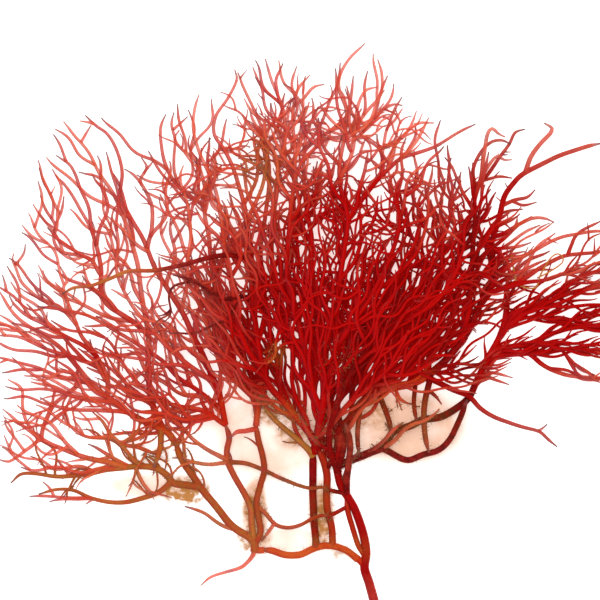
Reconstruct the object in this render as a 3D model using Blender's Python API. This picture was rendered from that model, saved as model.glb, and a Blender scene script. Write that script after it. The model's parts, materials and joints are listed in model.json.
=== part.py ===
"""Gracilaria seaweed laid flat: three branched fronds and the small disc that they grew from.

Lengths in the tables are millimetres. The plan is read from above: X runs to the right and Y runs
from the stem towards the tips, both counted from the lower left corner of a 200 mm square. Heights
are counted from the surface that the plant lies on. The model itself is in metres, with its origin
on the flat spot under the stalk.
"""

import math
from collections import namedtuple

import bmesh
import bpy
import numpy as np
from mathutils import Matrix, Vector

MM = 0.001
ORIGIN_PLAN = (104.2, 36.0)

SEED = 1154
NODE_GAP = 0.38
HEAP_CENTRE = (108.0, 98.0)
HEAP_REACH = (104.0, 84.0)
HEAP_HEIGHT = 17.0
EDGE_HEIGHT = 3.6
STALK_HEIGHT = 2.6
FIELD_FOCUS = (104.0, 38.0)

RING_STEP = 8.0
TIP_RADIUS = 0.5
FULLNESS = 1.16
SLIMMEST = 0.5
SWELLING = 0.04
FLOOR_SINK = 0.82

Axis = namedtuple("Axis", "name frond parent layer base tip points")
Habit = namedtuple("Habit", "level bare share spacing length angle radius tries")

# The spread of the fronds, clockwise from the lower left, as it lies on the surface.
OUTLINE = (
    (64, 34), (43, 31), (20, 32), (8, 34), (2, 39), (-1, 46), (0, 60), (2, 73), (-5, 82), (-5, 101),
    (3, 116), (13, 136), (12, 145), (20, 160), (28, 163), (38, 160), (48, 148), (54, 163), (66, 169),
    (78, 177), (88, 181), (96, 180), (107, 173), (121, 186), (127, 181), (134, 167), (145, 160),
    (158, 159), (150, 148), (155, 141), (159, 152), (163, 158), (175, 158), (185, 159), (200, 153),
    (186, 146), (173, 139), (180, 134), (176, 129), (185, 126), (180, 121), (200, 128), (212, 124),
    (217, 100), (212, 73), (200, 72), (186, 75), (173, 81), (167, 76), (158, 67), (150, 54), (133, 46),
    (117, 46), (104, 52), (92, 52), (78, 44), (66, 36),
)

LEFT, CENTRE, RIGHT = "frond_left", "frond_centre", "frond_right"

# Points with a third number have that height; the others find theirs in the heap.
AXES = (
    Axis("stem", RIGHT, None, 0.0, 1.6, 1.3, (
        (125.9, -5.2, 4.3), (125.2, -2.4, 4.1), (124.2, 1.2, 2.9), (122.8, 6.0, 1.6), (121.6, 10.6, 1.2),
        (122.2, 15.5, 1.05), (121.4, 20.5, 1.0), (120.1, 25.2, 1.0), (118.2, 30.0, 1.0),
        (116.0, 34.2, 1.05), (113.9, 38.0, 1.05), (112.6, 42.5, 1.1), (111.8, 47.5, 1.5))),
    Axis("runner", CENTRE, None, 0.0, 1.15, 1.2, (
        (119.3, 13.6, 1.0), (115.9, 16.1, 1.0), (111.6, 17.8, 1.0), (107.5, 18.1, 1.0), (104.0, 17.0, 1.0),
        (100.0, 15.3, 1.0), (95.0, 15.2, 1.0), (90.8, 16.3, 1.0), (86.9, 16.7, 1.0))),
    Axis("stalk_upper", CENTRE, "runner", 0.0, 1.2, 1.3, (
        (105.3, 17.6, 0.95), (105.2, 22.5, 0.95), (104.5, 28.5, 0.94), (104.2, 34.0, 0.94),
        (104.2, 39.5, 0.94), (104.3, 44.5, 1.1), (104.7, 50.0, 1.6))),
    Axis("stalk_lower", CENTRE, "runner", 0.0, 1.15, 1.3, (
        (110.9, 18.0, 0.95), (110.5, 24.0, 0.95), (109.3, 29.5, 0.95), (109.0, 36.0, 0.95),
        (108.9, 41.5, 1.0), (107.8, 46.5, 1.4), (105.6, 51.0, 1.9))),
    Axis("arm", LEFT, None, 0.0, 1.35, 1.15, (
        (85.0, 16.2, 1.1), (84.7, 18.8, 1.1), (83.0, 20.9, 1.1), (80.0, 22.8, 1.05), (76.6, 25.8, 1.05),
        (73.2, 29.8, 1.0), (70.0, 33.6, 1.0), (67.0, 37.2, 1.0), (64.4, 41.0, 1.0), (62.0, 44.8, 1.0),
        (60.0, 48.6, 1.1), (58.4, 53.0, 1.3))),
    Axis("left_stalk", LEFT, "arm", 0.0, 1.1, 1.0, (
        (84.7, 18.6, 1.1), (84.1, 24.5, 1.0), (83.6, 30.5, 1.0), (80.8, 36.3, 1.0), (78.0, 41.6, 1.0),
        (76.0, 46.0, 1.0), (75.8, 50.0, 1.0), (76.5, 54.2, 1.1), (74.9, 58.5, 1.4))),
    Axis("inner_stalk", LEFT, "arm", 0.0, 1.1, 1.0, (
        (84.7, 18.4, 1.1), (86.9, 22.8, 1.0), (86.1, 28.0, 1.0), (85.3, 33.0, 1.0), (86.8, 38.2, 1.0),
        (88.2, 43.0, 1.0), (87.5, 48.5, 1.0), (86.0, 54.0, 1.1), (85.0, 59.0, 1.4))),
    Axis("strand", RIGHT, "stem", 0.0, 0.9, 0.95, (
        (122.0, 14.2, 1.1), (119.8, 17.6, 0.9), (118.4, 21.4, 0.9), (117.1, 25.8, 0.9),
        (115.9, 30.2, 0.9), (115.0, 34.4, 1.0))),
    Axis("stub", RIGHT, "stem", 0.0, 0.9, 0.6, (
        (113.9, 38.0, 1.05), (114.9, 41.2, 1.6), (115.4, 44.4, 1.9))),
    Axis("bow", LEFT, "inner_stalk", 0.0, 0.75, 0.6, (
        (85.5, 31.4, 1.0), (88.4, 29.0, 0.9), (91.6, 25.4, 0.8), (95.5, 24.3, 0.9), (100.0, 25.2, 2.2),
        (104.2, 27.2, 3.4), (107.6, 28.2, 3.5), (110.6, 27.6, 3.4))),
    Axis("stem_side", RIGHT, "stem", 0.5, 1.0, 0.9, (
        (115.6, 34.9), (115.6, 40.0), (116.3, 45.6), (116.6, 51.0), (115.9, 55.5), (115.0, 58.6))),
    Axis("bow_strut", LEFT, "bow", 0.0, 0.6, 0.55, (
        (91.4, 25.5, 0.8), (89.4, 22.6, 0.8), (87.2, 19.8, 0.9))),
    Axis("crossing", LEFT, "left_stalk", 0.0, 0.8, 0.55, (
        (76.1, 46.0, 1.0), (82.0, 45.6, 1.0), (88.0, 43.5, 1.1), (93.0, 40.7, 1.2), (98.8, 38.5, 2.4),
        (104.0, 37.3, 3.4), (107.2, 37.8, 3.5), (110.6, 36.4, 3.4))),
    Axis("whip", LEFT, "arm", 0.0, 0.8, 0.42, (
        (84.8, 17.6, 1.1), (84.3, 14.8, 0.8), (82.3, 12.3, 0.7), (79.8, 10.6, 0.6), (75.0, 9.2, 0.5),
        (70.0, 7.7, 0.45), (66.8, 5.0, 0.45))),
    Axis("low_branch", LEFT, "arm", 0.0, 0.7, 0.55, (
        (79.4, 23.2, 1.05), (75.2, 24.4, 0.7), (71.8, 26.2, 0.6), (68.4, 28.6, 0.6), (65.0, 30.2, 0.6),
        (61.8, 31.3, 0.6))),

    Axis("right_main", RIGHT, "stem", 0.25, 1.45, 0.8, (
        (111.9, 46.0), (112.6, 51.0), (114.3, 56.4), (117.8, 62.0), (122.0, 66.8), (126.8, 69.6),
        (132.0, 71.2), (138.0, 72.6), (144.6, 76.2), (151.0, 83.0), (156.0, 90.0), (160.0, 98.0),
        (163.5, 106.0),
        (164.0, 114.0), (163.0, 121.0))),
    Axis("join", RIGHT, "right_main", 0.2, 1.15, 1.1, (
        (116.4, 60.6), (113.6, 57.6), (110.8, 55.0), (108.9, 53.6))),
    Axis("ridge", RIGHT, "right_main", 0.75, 0.85, 0.55, (
        (119.6, 64.6), (122.4, 69.2), (126.6, 72.6), (131.6, 74.8), (136.6, 76.4), (141.4, 79.4),
        (146.0, 84.6), (149.6, 91.0), (152.0, 99.0))),
    Axis("join_b", RIGHT, "stem", 0.9, 1.0, 0.6, (
        (112.6, 43.0), (110.6, 48.6), (109.6, 54.6), (110.6, 60.4), (112.8, 66.6), (115.4, 72.8),
        (119.4, 80.0), (124.6, 87.4), (128.4, 96.4))),
    Axis("join_c", RIGHT, "right_main", 1.0, 0.85, 0.5, (
        (117.4, 61.6), (117.0, 66.8), (118.0, 72.8), (121.0, 79.6), (125.4, 87.4), (130.6, 95.6),
        (134.4, 104.6))),
    Axis("dark_arm", RIGHT, "stem", 0.1, 1.2, 0.9, (
        (112.2, 44.6), (117.8, 46.8), (123.5, 49.4), (127.8, 51.2), (129.9, 54.8), (131.8, 56.6),
        (137.0, 58.0), (141.0, 60.0), (147.0, 61.2), (152.0, 64.0), (156.5, 68.0), (159.5, 74.0),
        (162.5, 80.5), (166.0, 87.0), (168.5, 94.0), (169.5, 101.0))),
    Axis("low_arc", RIGHT, "dark_arm", 0.0, 0.95, 0.85, (
        (127.6, 51.1), (131.5, 48.3), (136.0, 46.6), (141.0, 48.4), (146.0, 50.2), (150.0, 54.0),
        (152.8, 59.5), (155.6, 66.4))),
    Axis("strut_a", RIGHT, "right_main", 0.1, 0.75, 0.65, (
        (120.2, 64.6), (119.5, 60.0), (119.3, 54.0), (119.6, 48.2))),
    Axis("strut_b", RIGHT, "right_main", 0.1, 0.8, 0.75, (
        (126.6, 68.2), (128.7, 63.0), (129.8, 59.0), (130.6, 55.6))),
    Axis("strut_c", RIGHT, "right_main", 0.3, 0.55, 0.45, (
        (132.0, 70.4), (132.8, 67.5), (134.5, 66.0), (137.0, 65.3))),
    Axis("strut_d", RIGHT, "right_main", 0.1, 0.7, 0.6, (
        (138.3, 73.3), (137.8, 66.5), (138.4, 62.0), (139.4, 59.0))),
    Axis("strut_e", RIGHT, "right_main", 0.1, 0.95, 0.75, (
        (143.4, 76.2), (142.0, 68.0), (141.2, 60.5), (141.5, 55.0), (142.6, 49.6))),
    Axis("strut_f", RIGHT, "strut_e", 0.2, 0.6, 0.45, ((142.4, 70.5), (145.0, 68.2), (147.0, 65.5))),
    Axis("right_whip", RIGHT, "right_main", 0.3, 0.9, 0.45, (
        (141.5, 75.0), (147.0, 72.0), (151.5, 69.8), (156.2, 67.8), (160.0, 64.2), (165.0, 61.0),
        (170.0, 59.0), (175.0, 57.4), (179.7, 56.0), (182.5, 53.8), (185.6, 51.4))),
    Axis("whip_fork", RIGHT, "right_whip", 0.3, 0.45, 0.42, ((179.7, 56.0), (182.3, 58.5))),
    Axis("bundle_a", RIGHT, "dark_arm", 0.45, 1.0, 0.45, (
        (166.5, 88.0), (171.0, 92.5), (177.0, 97.0), (185.0, 100.5), (193.0, 103.0), (202.0, 104.5),
        (211.0, 106.0))),
    Axis("bundle_b", RIGHT, "dark_arm", 0.3, 0.9, 0.45, (
        (164.4, 84.2), (170.0, 84.5), (176.0, 85.2), (183.0, 88.5), (191.0, 90.8), (200.0, 91.3),
        (210.0, 90.0))),
    Axis("bundle_c", RIGHT, "dark_arm", 0.15, 0.9, 0.45, (
        (163.0, 81.6), (168.0, 81.8), (175.0, 82.2), (183.0, 82.6), (191.0, 84.0), (199.0, 82.6),
        (208.0, 81.0))),
    Axis("bundle_d", RIGHT, "bundle_c", 0.2, 0.75, 0.45, (
        (176.5, 82.3), (181.0, 78.5), (185.0, 76.2), (190.0, 74.7), (198.0, 74.0), (207.0, 74.6))),
    Axis("bundle_e", RIGHT, "bundle_c", 0.6, 0.5, 0.42, (
        (187.0, 83.3), (190.0, 80.0), (193.5, 77.0), (198.0, 75.3))),
    Axis("bundle_f", RIGHT, "right_main", 0.6, 0.8, 0.45, (
        (162.0, 102.0), (168.0, 104.0), (174.0, 107.0), (181.0, 111.2), (187.0, 114.3), (193.0, 115.4),
        (200.0, 116.3), (208.0, 118.0))),
    Axis("bundle_g", RIGHT, "bundle_f", 0.7, 0.6, 0.42, (
        (188.5, 114.9), (190.0, 118.0), (191.5, 121.2), (194.5, 123.6), (200.5, 126.4))),
    Axis("bundle_h", RIGHT, "right_main", 0.8, 0.7, 0.42, (
        (162.8, 104.5), (167.0, 109.0), (173.0, 113.8), (180.0, 117.8), (187.0, 120.8), (193.0, 122.0),
        (200.0, 123.0), (207.0, 122.4))),
    Axis("bundle_i", RIGHT, "bundle_a", 0.8, 0.6, 0.42, (
        (180.0, 98.6), (188.0, 97.6), (197.0, 98.4), (207.0, 98.6))),
    Axis("bundle_j", RIGHT, "bundle_a", 0.1, 0.6, 0.42, (
        (173.0, 94.2), (182.0, 94.2), (190.0, 93.4), (200.0, 95.0), (209.0, 94.4))),
    Axis("bundle_k", RIGHT, "bundle_a", 0.6, 0.6, 0.42, (
        (184.0, 100.2), (192.0, 106.6), (200.0, 110.2), (209.0, 112.0))),
    Axis("upright_a", RIGHT, "right_main", 0.5, 1.0, 0.42, (
        (153.2, 86.4), (155.6, 96.0), (157.0, 108.0), (157.5, 120.0), (158.2, 130.0), (158.0, 138.0),
        (157.6, 143.5), (160.0, 149.3), (163.5, 152.5), (167.0, 153.0), (170.0, 151.8))),
    Axis("upright_b", RIGHT, "upright_a", 0.7, 0.75, 0.5, (
        (158.2, 134.0), (160.3, 141.0), (161.0, 148.0), (162.0, 154.5), (163.8, 157.0), (166.0, 155.2),
        (168.0, 154.2))),
    Axis("upright_c", RIGHT, "upright_a", 0.3, 0.65, 0.42, (
        (158.1, 136.5), (162.2, 141.5), (166.3, 147.0), (169.5, 151.5), (171.5, 155.8), (174.8, 157.0))),
    Axis("upright_d", RIGHT, "upright_b", 0.9, 0.55, 0.42, (
        (160.3, 141.0), (163.0, 145.0), (165.5, 147.5), (167.8, 146.4), (170.3, 146.6))),
    Axis("upright_e", RIGHT, "upright_a", 0.1, 0.5, 0.42, (
        (158.0, 138.5), (163.0, 140.3), (166.5, 141.2), (170.5, 140.7))),
    Axis("antler_a", RIGHT, "right_main", 0.6, 0.9, 0.62, (
        (163.4, 118.0), (166.4, 128.0), (168.0, 135.0), (171.8, 139.8), (175.2, 142.4), (181.8, 145.8),
        (188.5, 149.0), (194.5, 150.9), (200.0, 152.0))),
    Axis("antler_b", RIGHT, "antler_a", 0.7, 0.75, 0.6, (
        (174.9, 142.2), (176.3, 147.0), (180.0, 152.0), (183.3, 155.4), (183.9, 157.4), (181.6, 158.9))),
    Axis("antler_c", RIGHT, "antler_a", 0.4, 0.62, 0.45, (
        (167.0, 131.0), (171.0, 133.2), (175.5, 134.2), (178.2, 136.6))),
    Axis("antler_d", RIGHT, "antler_c", 0.2, 0.45, 0.42, ((170.5, 133.1), (174.4, 131.6), (178.6, 132.6))),
    Axis("antler_e", RIGHT, "antler_a", 0.9, 0.7, 0.45, (
        (164.2, 121.0), (168.4, 122.5), (172.5, 125.0), (177.0, 127.0), (181.0, 127.0), (184.3, 125.8))),
    Axis("antler_f", RIGHT, "right_main", 0.2, 0.5, 0.42, (
        (163.9, 115.0), (169.0, 118.2), (174.5, 122.3), (179.8, 125.0))),
    Axis("spur_a", RIGHT, "dark_arm", 0.3, 0.5, 0.42, ((160.4, 76.0), (165.5, 75.5), (170.7, 74.2))),
    Axis("spur_b", RIGHT, "dark_arm", 0.0, 0.5, 0.42, ((160.0, 75.0), (165.4, 73.2), (169.5, 71.8))),
    Axis("inner_a", RIGHT, "right_main", 0.2, 0.9, 0.45, (
        (142.0, 75.5), (143.8, 83.0), (146.5, 92.0), (150.0, 102.0), (152.5, 112.0), (153.5, 122.0),
        (152.5, 132.0))),
    Axis("inner_b", RIGHT, "right_main", 0.1, 0.85, 0.42, (
        (136.5, 72.6), (138.8, 82.0), (142.0, 92.0), (145.5, 102.0), (147.5, 112.0), (147.0, 122.0),
        (147.0, 132.0), (148.2, 137.8), (146.8, 142.5), (146.0, 146.0))),

    Axis("crown_left", CENTRE, "stalk_lower", 0.6, 1.1, 0.42, (
        (105.8, 50.4), (102.5, 56.5), (98.5, 61.5), (94.5, 66.0), (90.5, 70.5), (88.0, 76.0), (86.5, 84.0),
        (84.8, 94.0), (84.0, 104.0), (84.0, 114.0), (82.6, 124.0), (81.0, 134.0), (78.0, 143.0),
        (75.0, 149.5), (71.5, 155.0), (72.2, 161.0), (75.8, 167.0), (78.8, 173.0), (78.2, 176.6))),
    Axis("crown_mid", CENTRE, "stalk_upper", 0.7, 1.2, 0.42, (
        (104.6, 49.2), (106.0, 56.0), (107.3, 64.0), (107.8, 72.0), (107.2, 82.0), (106.5, 92.0),
        (105.0, 102.0), (104.0, 112.0), (103.5, 122.0), (102.0, 132.0), (101.5, 140.0), (101.0, 148.0),
        (102.0, 155.0), (101.2, 160.5), (102.2, 164.4))),
    Axis("crown_a", CENTRE, "crown_mid", 0.85, 1.0, 0.42, (
        (107.2, 63.0), (103.7, 71.0), (102.3, 80.0), (100.0, 90.0), (97.2, 100.0), (95.7, 110.0),
        (96.0, 120.0), (97.0, 130.0), (98.3, 140.0), (98.1, 150.0), (97.8, 158.0), (98.0, 165.0),
        (99.6, 170.5), (103.0, 174.8))),
    Axis("crown_b", CENTRE, "crown_mid", 0.75, 1.0, 0.42, (
        (107.8, 70.0), (110.5, 78.0), (112.0, 88.0), (112.3, 98.0), (113.2, 108.0), (115.0, 118.0),
        (115.6, 128.0), (113.4, 137.0), (113.5, 147.0), (115.0, 156.0), (115.3, 163.0), (113.2, 170.0),
        (113.4, 175.0), (116.3, 180.2), (121.4, 185.4))),
    Axis("crown_c", CENTRE, "crown_a", 0.6, 0.9, 0.42, (
        (102.6, 78.0), (97.0, 85.0), (93.7, 94.0), (91.6, 104.0), (90.6, 114.0), (91.0, 124.0),
        (92.0, 134.0), (93.0, 144.0), (95.0, 153.0), (94.6, 161.0), (92.6, 168.0), (90.3, 174.0),
        (88.6, 180.2))),
    Axis("crown_d", CENTRE, "crown_c", 0.9, 0.55, 0.42, (
        (94.0, 163.5), (92.5, 168.8), (91.9, 173.5), (94.3, 178.6))),
    Axis("crown_e", CENTRE, "crown_a", 0.5, 0.55, 0.42, (
        (98.0, 164.2), (101.3, 167.3), (104.5, 170.6), (108.0, 171.6))),
    Axis("crown_f", CENTRE, "crown_mid", 0.5, 0.6, 0.42, (
        (101.2, 149.5), (106.0, 153.5), (111.0, 157.0), (115.6, 161.8), (117.2, 168.5), (117.8, 174.5))),
    Axis("crown_g", CENTRE, "crown_b", 0.9, 0.65, 0.42, (
        (113.4, 140.0), (117.3, 149.5), (118.4, 157.5), (119.4, 164.5), (121.6, 169.6), (125.7, 171.0))),
    Axis("crown_h", CENTRE, "crown_g", 0.5, 0.55, 0.42, (
        (118.4, 157.0), (122.5, 163.0), (126.8, 168.5), (127.1, 175.0), (126.0, 180.0))),
    Axis("crown_i", CENTRE, "crown_g", 0.3, 0.5, 0.42, (
        (118.0, 153.0), (124.0, 158.5), (127.5, 163.0), (131.0, 165.2), (134.0, 165.0))),
    Axis("crown_j", CENTRE, "crown_b", 0.7, 0.8, 0.42, (
        (115.8, 126.0), (120.8, 134.0), (127.0, 141.0), (133.0, 146.5), (139.0, 149.0), (146.0, 151.6),
        (153.3, 156.0), (158.3, 158.3))),
    Axis("crown_k", CENTRE, "crown_j", 0.8, 0.55, 0.42, (
        (129.0, 143.0), (131.4, 151.5), (135.5, 155.6), (139.5, 158.6), (144.5, 158.8))),
    Axis("crown_l", CENTRE, "crown_j", 0.4, 0.5, 0.42, (
        (126.5, 140.6), (127.8, 150.0), (128.8, 157.0), (131.5, 160.0), (134.0, 163.6))),
    Axis("crown_m", CENTRE, "crown_j", 0.5, 0.5, 0.42, (
        (134.0, 147.0), (136.9, 151.5), (138.3, 155.0), (138.1, 158.8))),
    Axis("crown_n", CENTRE, "crown_b", 0.9, 0.9, 0.42, (
        (111.6, 84.0), (117.0, 92.0), (122.8, 100.0), (128.0, 110.0), (132.0, 120.0), (134.0, 130.0),
        (135.5, 139.0), (138.8, 143.0), (142.5, 144.6))),
    Axis("crown_o", CENTRE, "crown_mid", 0.6, 0.95, 0.42, (
        (107.8, 73.0), (113.5, 80.0), (121.0, 86.0), (129.0, 92.0), (136.5, 99.0), (142.0, 107.0),
        (146.2, 116.0), (149.6, 126.0), (151.0, 133.5), (153.4, 139.6))),
    Axis("crown_p", CENTRE, "crown_n", 0.8, 0.7, 0.42, (
        (124.0, 102.3), (131.0, 107.5), (137.5, 114.0), (141.0, 122.0), (142.5, 130.0), (142.8, 136.0))),
    Axis("crown_q", CENTRE, "crown_o", 0.85, 0.7, 0.42, (
        (125.0, 89.0), (134.0, 92.5), (143.0, 98.0), (149.0, 105.0), (153.4, 113.0))),
    Axis("crown_r", CENTRE, "crown_left", 0.8, 0.9, 0.42, (
        (88.0, 76.0), (82.3, 84.0), (79.2, 94.0), (77.5, 104.0), (75.6, 114.0), (74.2, 124.0),
        (72.5, 134.0), (70.0, 142.0), (66.5, 149.0), (64.4, 157.0), (64.9, 163.0), (66.6, 168.2))),
    Axis("crown_s", CENTRE, "crown_left", 0.4, 0.8, 0.42, (
        (86.2, 86.0), (88.3, 95.0), (87.7, 106.0), (87.0, 116.0), (88.0, 126.0), (89.6, 136.0),
        (89.8, 145.0), (88.0, 152.0), (87.0, 158.0), (84.0, 165.0), (81.2, 171.0), (79.2, 175.6))),
    Axis("old_cross", CENTRE, "crown_left", 0.95, 0.8, 0.45, (
        (84.0, 113.6), (76.0, 115.0), (68.0, 113.4), (60.0, 111.2), (52.0, 110.0), (43.0, 109.4),
        (37.0, 107.0), (31.0, 104.8), (25.0, 104.3), (21.0, 102.0))),
    Axis("thin_cross", CENTRE, "crown_left", 0.9, 0.55, 0.42, (
        (84.1, 101.5), (76.0, 100.4), (70.5, 102.8), (65.0, 106.0), (58.0, 108.2))),
    Axis("silted", CENTRE, "stalk_upper", 0.3, 0.95, 0.6, (
        (104.6, 48.6), (99.5, 53.2), (94.0, 58.0), (89.4, 63.0), (86.4, 68.6))),
    Axis("crown_t", CENTRE, "crown_mid", 0.3, 0.9, 0.42, (
        (107.5, 66.0), (112.5, 73.0), (119.0, 79.0), (127.0, 85.0), (134.0, 92.0), (139.0, 101.0),
        (141.0, 111.0), (140.0, 121.0))),
    Axis("crown_w", CENTRE, "crown_mid", 0.6, 1.0, 0.5, (
        (106.2, 56.6), (108.9, 61.0), (112.0, 65.6), (115.6, 70.6), (119.4, 76.4), (124.0, 83.0),
        (131.0, 90.4),
        (136.4, 98.4))),
    Axis("crown_x", CENTRE, "crown_w", 0.35, 0.9, 0.5, (
        (109.4, 62.0), (110.6, 68.0), (113.6, 74.0), (116.8, 80.0), (119.0, 88.0), (121.4, 97.0),
        (124.0, 106.0))),
    Axis("crown_y", CENTRE, "crown_left", 0.35, 0.85, 0.45, (
        (103.2, 55.4), (101.6, 61.0), (98.6, 67.4), (97.4, 74.0), (98.0, 82.0), (96.4, 91.0))),
    Axis("crown_z", CENTRE, "crown_mid", 0.8, 0.8, 0.45, (
        (106.6, 58.6), (104.6, 65.0), (104.4, 72.0), (105.2, 80.0), (103.0, 89.0), (102.0, 98.0))),
    Axis("join_d", CENTRE, "crown_mid", 0.75, 0.85, 0.55, (
        (105.5, 53.6), (109.6, 57.6), (113.6, 62.6), (118.4, 68.4), (123.6, 73.8), (130.0, 78.4),
        (137.0, 84.0),
        (142.4, 91.6))),
    Axis("join_e", CENTRE, "crown_mid", 0.6, 0.9, 0.5, (
        (105.3, 52.4), (101.6, 58.4), (97.6, 63.6), (94.6, 70.0), (92.4, 78.0), (90.0, 87.0))),
    Axis("crown_u", CENTRE, "crown_left", 0.5, 0.7, 0.42, (
        (95.0, 65.4), (92.5, 74.0), (92.0, 84.0), (89.0, 94.0), (86.0, 104.0))),
    Axis("crown_v", CENTRE, "crown_a", 0.4, 0.7, 0.42, (
        (99.5, 92.0), (101.5, 102.0), (100.0, 112.0), (99.0, 122.0), (100.5, 131.0))),

    Axis("left_upper", LEFT, "left_stalk", 0.3, 1.0, 0.42, (
        (75.0, 58.2), (74.5, 63.0), (73.2, 68.5), (70.7, 74.5), (68.0, 81.0), (64.8, 88.0), (61.2, 95.0),
        (57.0, 102.0), (53.0, 108.5), (50.0, 115.0), (47.0, 121.5), (43.2, 128.0), (40.4, 134.5),
        (40.7, 142.0), (39.2, 149.0), (36.0, 155.0), (32.2, 158.2), (28.6, 161.5))),
    Axis("left_inner", LEFT, "inner_stalk", 0.2, 1.0, 0.42, (
        (85.1, 58.4), (86.0, 64.0), (85.6, 70.0), (82.6, 78.0), (79.6, 86.0), (76.0, 94.0), (72.5, 102.0),
        (70.6, 111.0), (69.6, 120.0), (68.4, 129.0), (68.4, 137.0), (65.6, 145.5), (60.4, 150.5),
        (58.5, 154.0), (59.8, 156.4))),
    Axis("left_main", LEFT, "arm", 0.3, 1.1, 0.45, (
        (58.7, 52.4), (55.5, 56.3), (50.0, 58.8), (44.3, 61.8), (39.0, 65.3), (34.0, 69.2), (29.0, 74.0),
        (25.0, 79.0), (20.0, 84.0), (14.0, 88.5), (8.0, 92.5), (3.5, 97.0), (-0.5, 103.0))),
    Axis("silt_arm", LEFT, "arm", 0.1, 1.15, 0.42, (
        (66.6, 37.6), (61.5, 38.3), (58.0, 39.0), (55.5, 42.0), (51.5, 44.2), (45.5, 44.6), (40.0, 43.8),
        (34.0, 43.2), (27.0, 41.8), (19.0, 41.2), (12.0, 41.9), (7.0, 42.0), (3.6, 39.2))),
    Axis("low_left", LEFT, "silt_arm", 0.0, 0.85, 0.42, (
        (57.3, 39.6), (54.2, 36.8), (51.5, 35.2), (47.5, 33.8), (42.0, 32.8), (36.0, 32.8), (30.5, 34.0),
        (24.5, 36.4), (18.3, 36.8), (13.0, 35.5))),
    Axis("low_tip", LEFT, "low_left", 0.0, 0.5, 0.42, (
        (31.0, 33.9), (25.0, 34.2), (18.0, 34.5), (10.0, 34.5))),
    Axis("low_strut", LEFT, "silt_arm", 0.1, 0.6, 0.55, (
        (44.8, 44.6), (47.6, 39.4), (50.2, 36.4), (52.0, 35.4))),
    Axis("dark_fork", LEFT, "silt_arm", 0.4, 0.75, 0.42, (
        (47.0, 44.7), (43.2, 48.4), (40.0, 52.2), (36.8, 55.4), (34.2, 59.5), (31.2, 62.6))),
    Axis("link_a", LEFT, "left_main", 0.1, 0.9, 0.8, (
        (54.0, 57.2), (53.7, 52.0), (52.7, 48.0), (51.4, 44.6))),
    Axis("link_b", LEFT, "dark_fork", 0.2, 0.6, 0.55, (
        (40.4, 51.8), (45.0, 51.2), (49.0, 49.8), (52.6, 48.2))),
    Axis("link_c", LEFT, "dark_fork", 0.5, 0.5, 0.45, ((39.6, 52.6), (45.5, 53.6), (50.5, 56.2))),
    Axis("side_a", LEFT, "left_main", 0.5, 0.7, 0.42, (
        (43.0, 62.6), (36.0, 63.2), (29.0, 63.5), (23.0, 63.8), (18.0, 64.8), (13.5, 67.5))),
    Axis("side_b", LEFT, "left_main", 0.7, 0.65, 0.42, (
        (38.0, 66.0), (31.0, 66.4), (24.5, 68.0), (18.5, 70.8), (12.5, 74.2), (8.0, 77.4), (4.2, 80.8))),
    Axis("star", LEFT, "silt_arm", 0.5, 0.9, 0.42, (
        (42.0, 44.0), (36.8, 45.9), (30.5, 46.9), (24.0, 49.2), (18.0, 51.7), (13.7, 53.6), (10.2, 50.9),
        (6.3, 48.0), (3.0, 46.2), (-0.5, 46.9))),
    Axis("star_up", LEFT, "star", 0.7, 0.75, 0.5, (
        (13.8, 53.5), (14.4, 57.0), (16.2, 61.5), (18.6, 65.5), (22.8, 69.0), (27.5, 72.6))),
    Axis("star_tip", LEFT, "star", 0.2, 0.55, 0.42, (
        (13.7, 53.6), (10.8, 56.6), (8.6, 60.5), (7.6, 65.0), (7.0, 70.4), (2.7, 73.5))),
    Axis("far_tip", LEFT, "star", 0.4, 0.45, 0.42, ((8.2, 49.4), (5.3, 53.8), (2.2, 57.6), (1.5, 59.8))),
    Axis("fork_b", LEFT, "dark_fork", 0.7, 0.55, 0.42, (
        (37.6, 54.6), (31.0, 54.2), (26.0, 56.0), (22.6, 59.4), (20.6, 62.4))),
    Axis("left_rise", LEFT, "left_main", 0.15, 1.0, 0.42, (
        (54.8, 56.6), (51.8, 63.0), (50.0, 70.0), (49.4, 78.0), (49.6, 86.0), (49.2, 92.5), (47.6, 99.0),
        (46.6, 106.0), (45.6, 113.0), (43.6, 121.0), (40.6, 129.0), (37.6, 135.5), (33.5, 142.0),
        (30.3, 148.0), (27.8, 151.5), (24.5, 155.0), (21.2, 159.3))),
    Axis("rise_b", LEFT, "left_rise", 0.5, 0.85, 0.42, (
        (49.5, 88.5), (45.0, 92.3), (40.2, 95.6), (35.8, 99.0), (33.6, 104.0), (33.8, 110.0), (32.5, 117.0),
        (30.8, 124.0), (29.5, 131.0), (26.8, 137.0), (25.0, 142.0), (23.0, 145.5), (19.0, 148.2))),
    Axis("sweep_a", LEFT, "left_main", 0.6, 0.8, 0.42, (
        (36.0, 67.5), (36.0, 73.0), (34.4, 78.0), (31.5, 83.0), (27.5, 87.5), (25.2, 93.0), (23.0, 98.5),
        (21.5, 104.0), (22.6, 106.4), (20.2, 111.0))),
    Axis("sweep_b", LEFT, "sweep_a", 0.8, 0.7, 0.42, (
        (32.6, 81.5), (28.0, 84.8), (22.0, 88.2), (15.0, 91.8), (9.0, 94.8), (5.0, 98.4), (3.4, 101.4))),
    Axis("sweep_c", LEFT, "sweep_a", 0.2, 0.7, 0.42, (
        (35.0, 76.6), (28.0, 79.8), (20.0, 82.2), (13.0, 85.0), (6.0, 87.8), (-1.0, 88.0))),
    Axis("sweep_d", LEFT, "left_main", 0.1, 0.65, 0.42, (
        (31.0, 72.0), (25.0, 73.2), (18.0, 75.4), (12.0, 77.7), (5.0, 79.4), (-1.5, 81.0))),
    Axis("sweep_e", LEFT, "sweep_a", 0.5, 0.6, 0.42, (
        (25.6, 92.2), (20.0, 97.6), (14.5, 99.8), (10.0, 103.4), (7.0, 106.4), (5.3, 110.5), (4.2, 113.5),
        (4.6, 115.4))),
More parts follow.
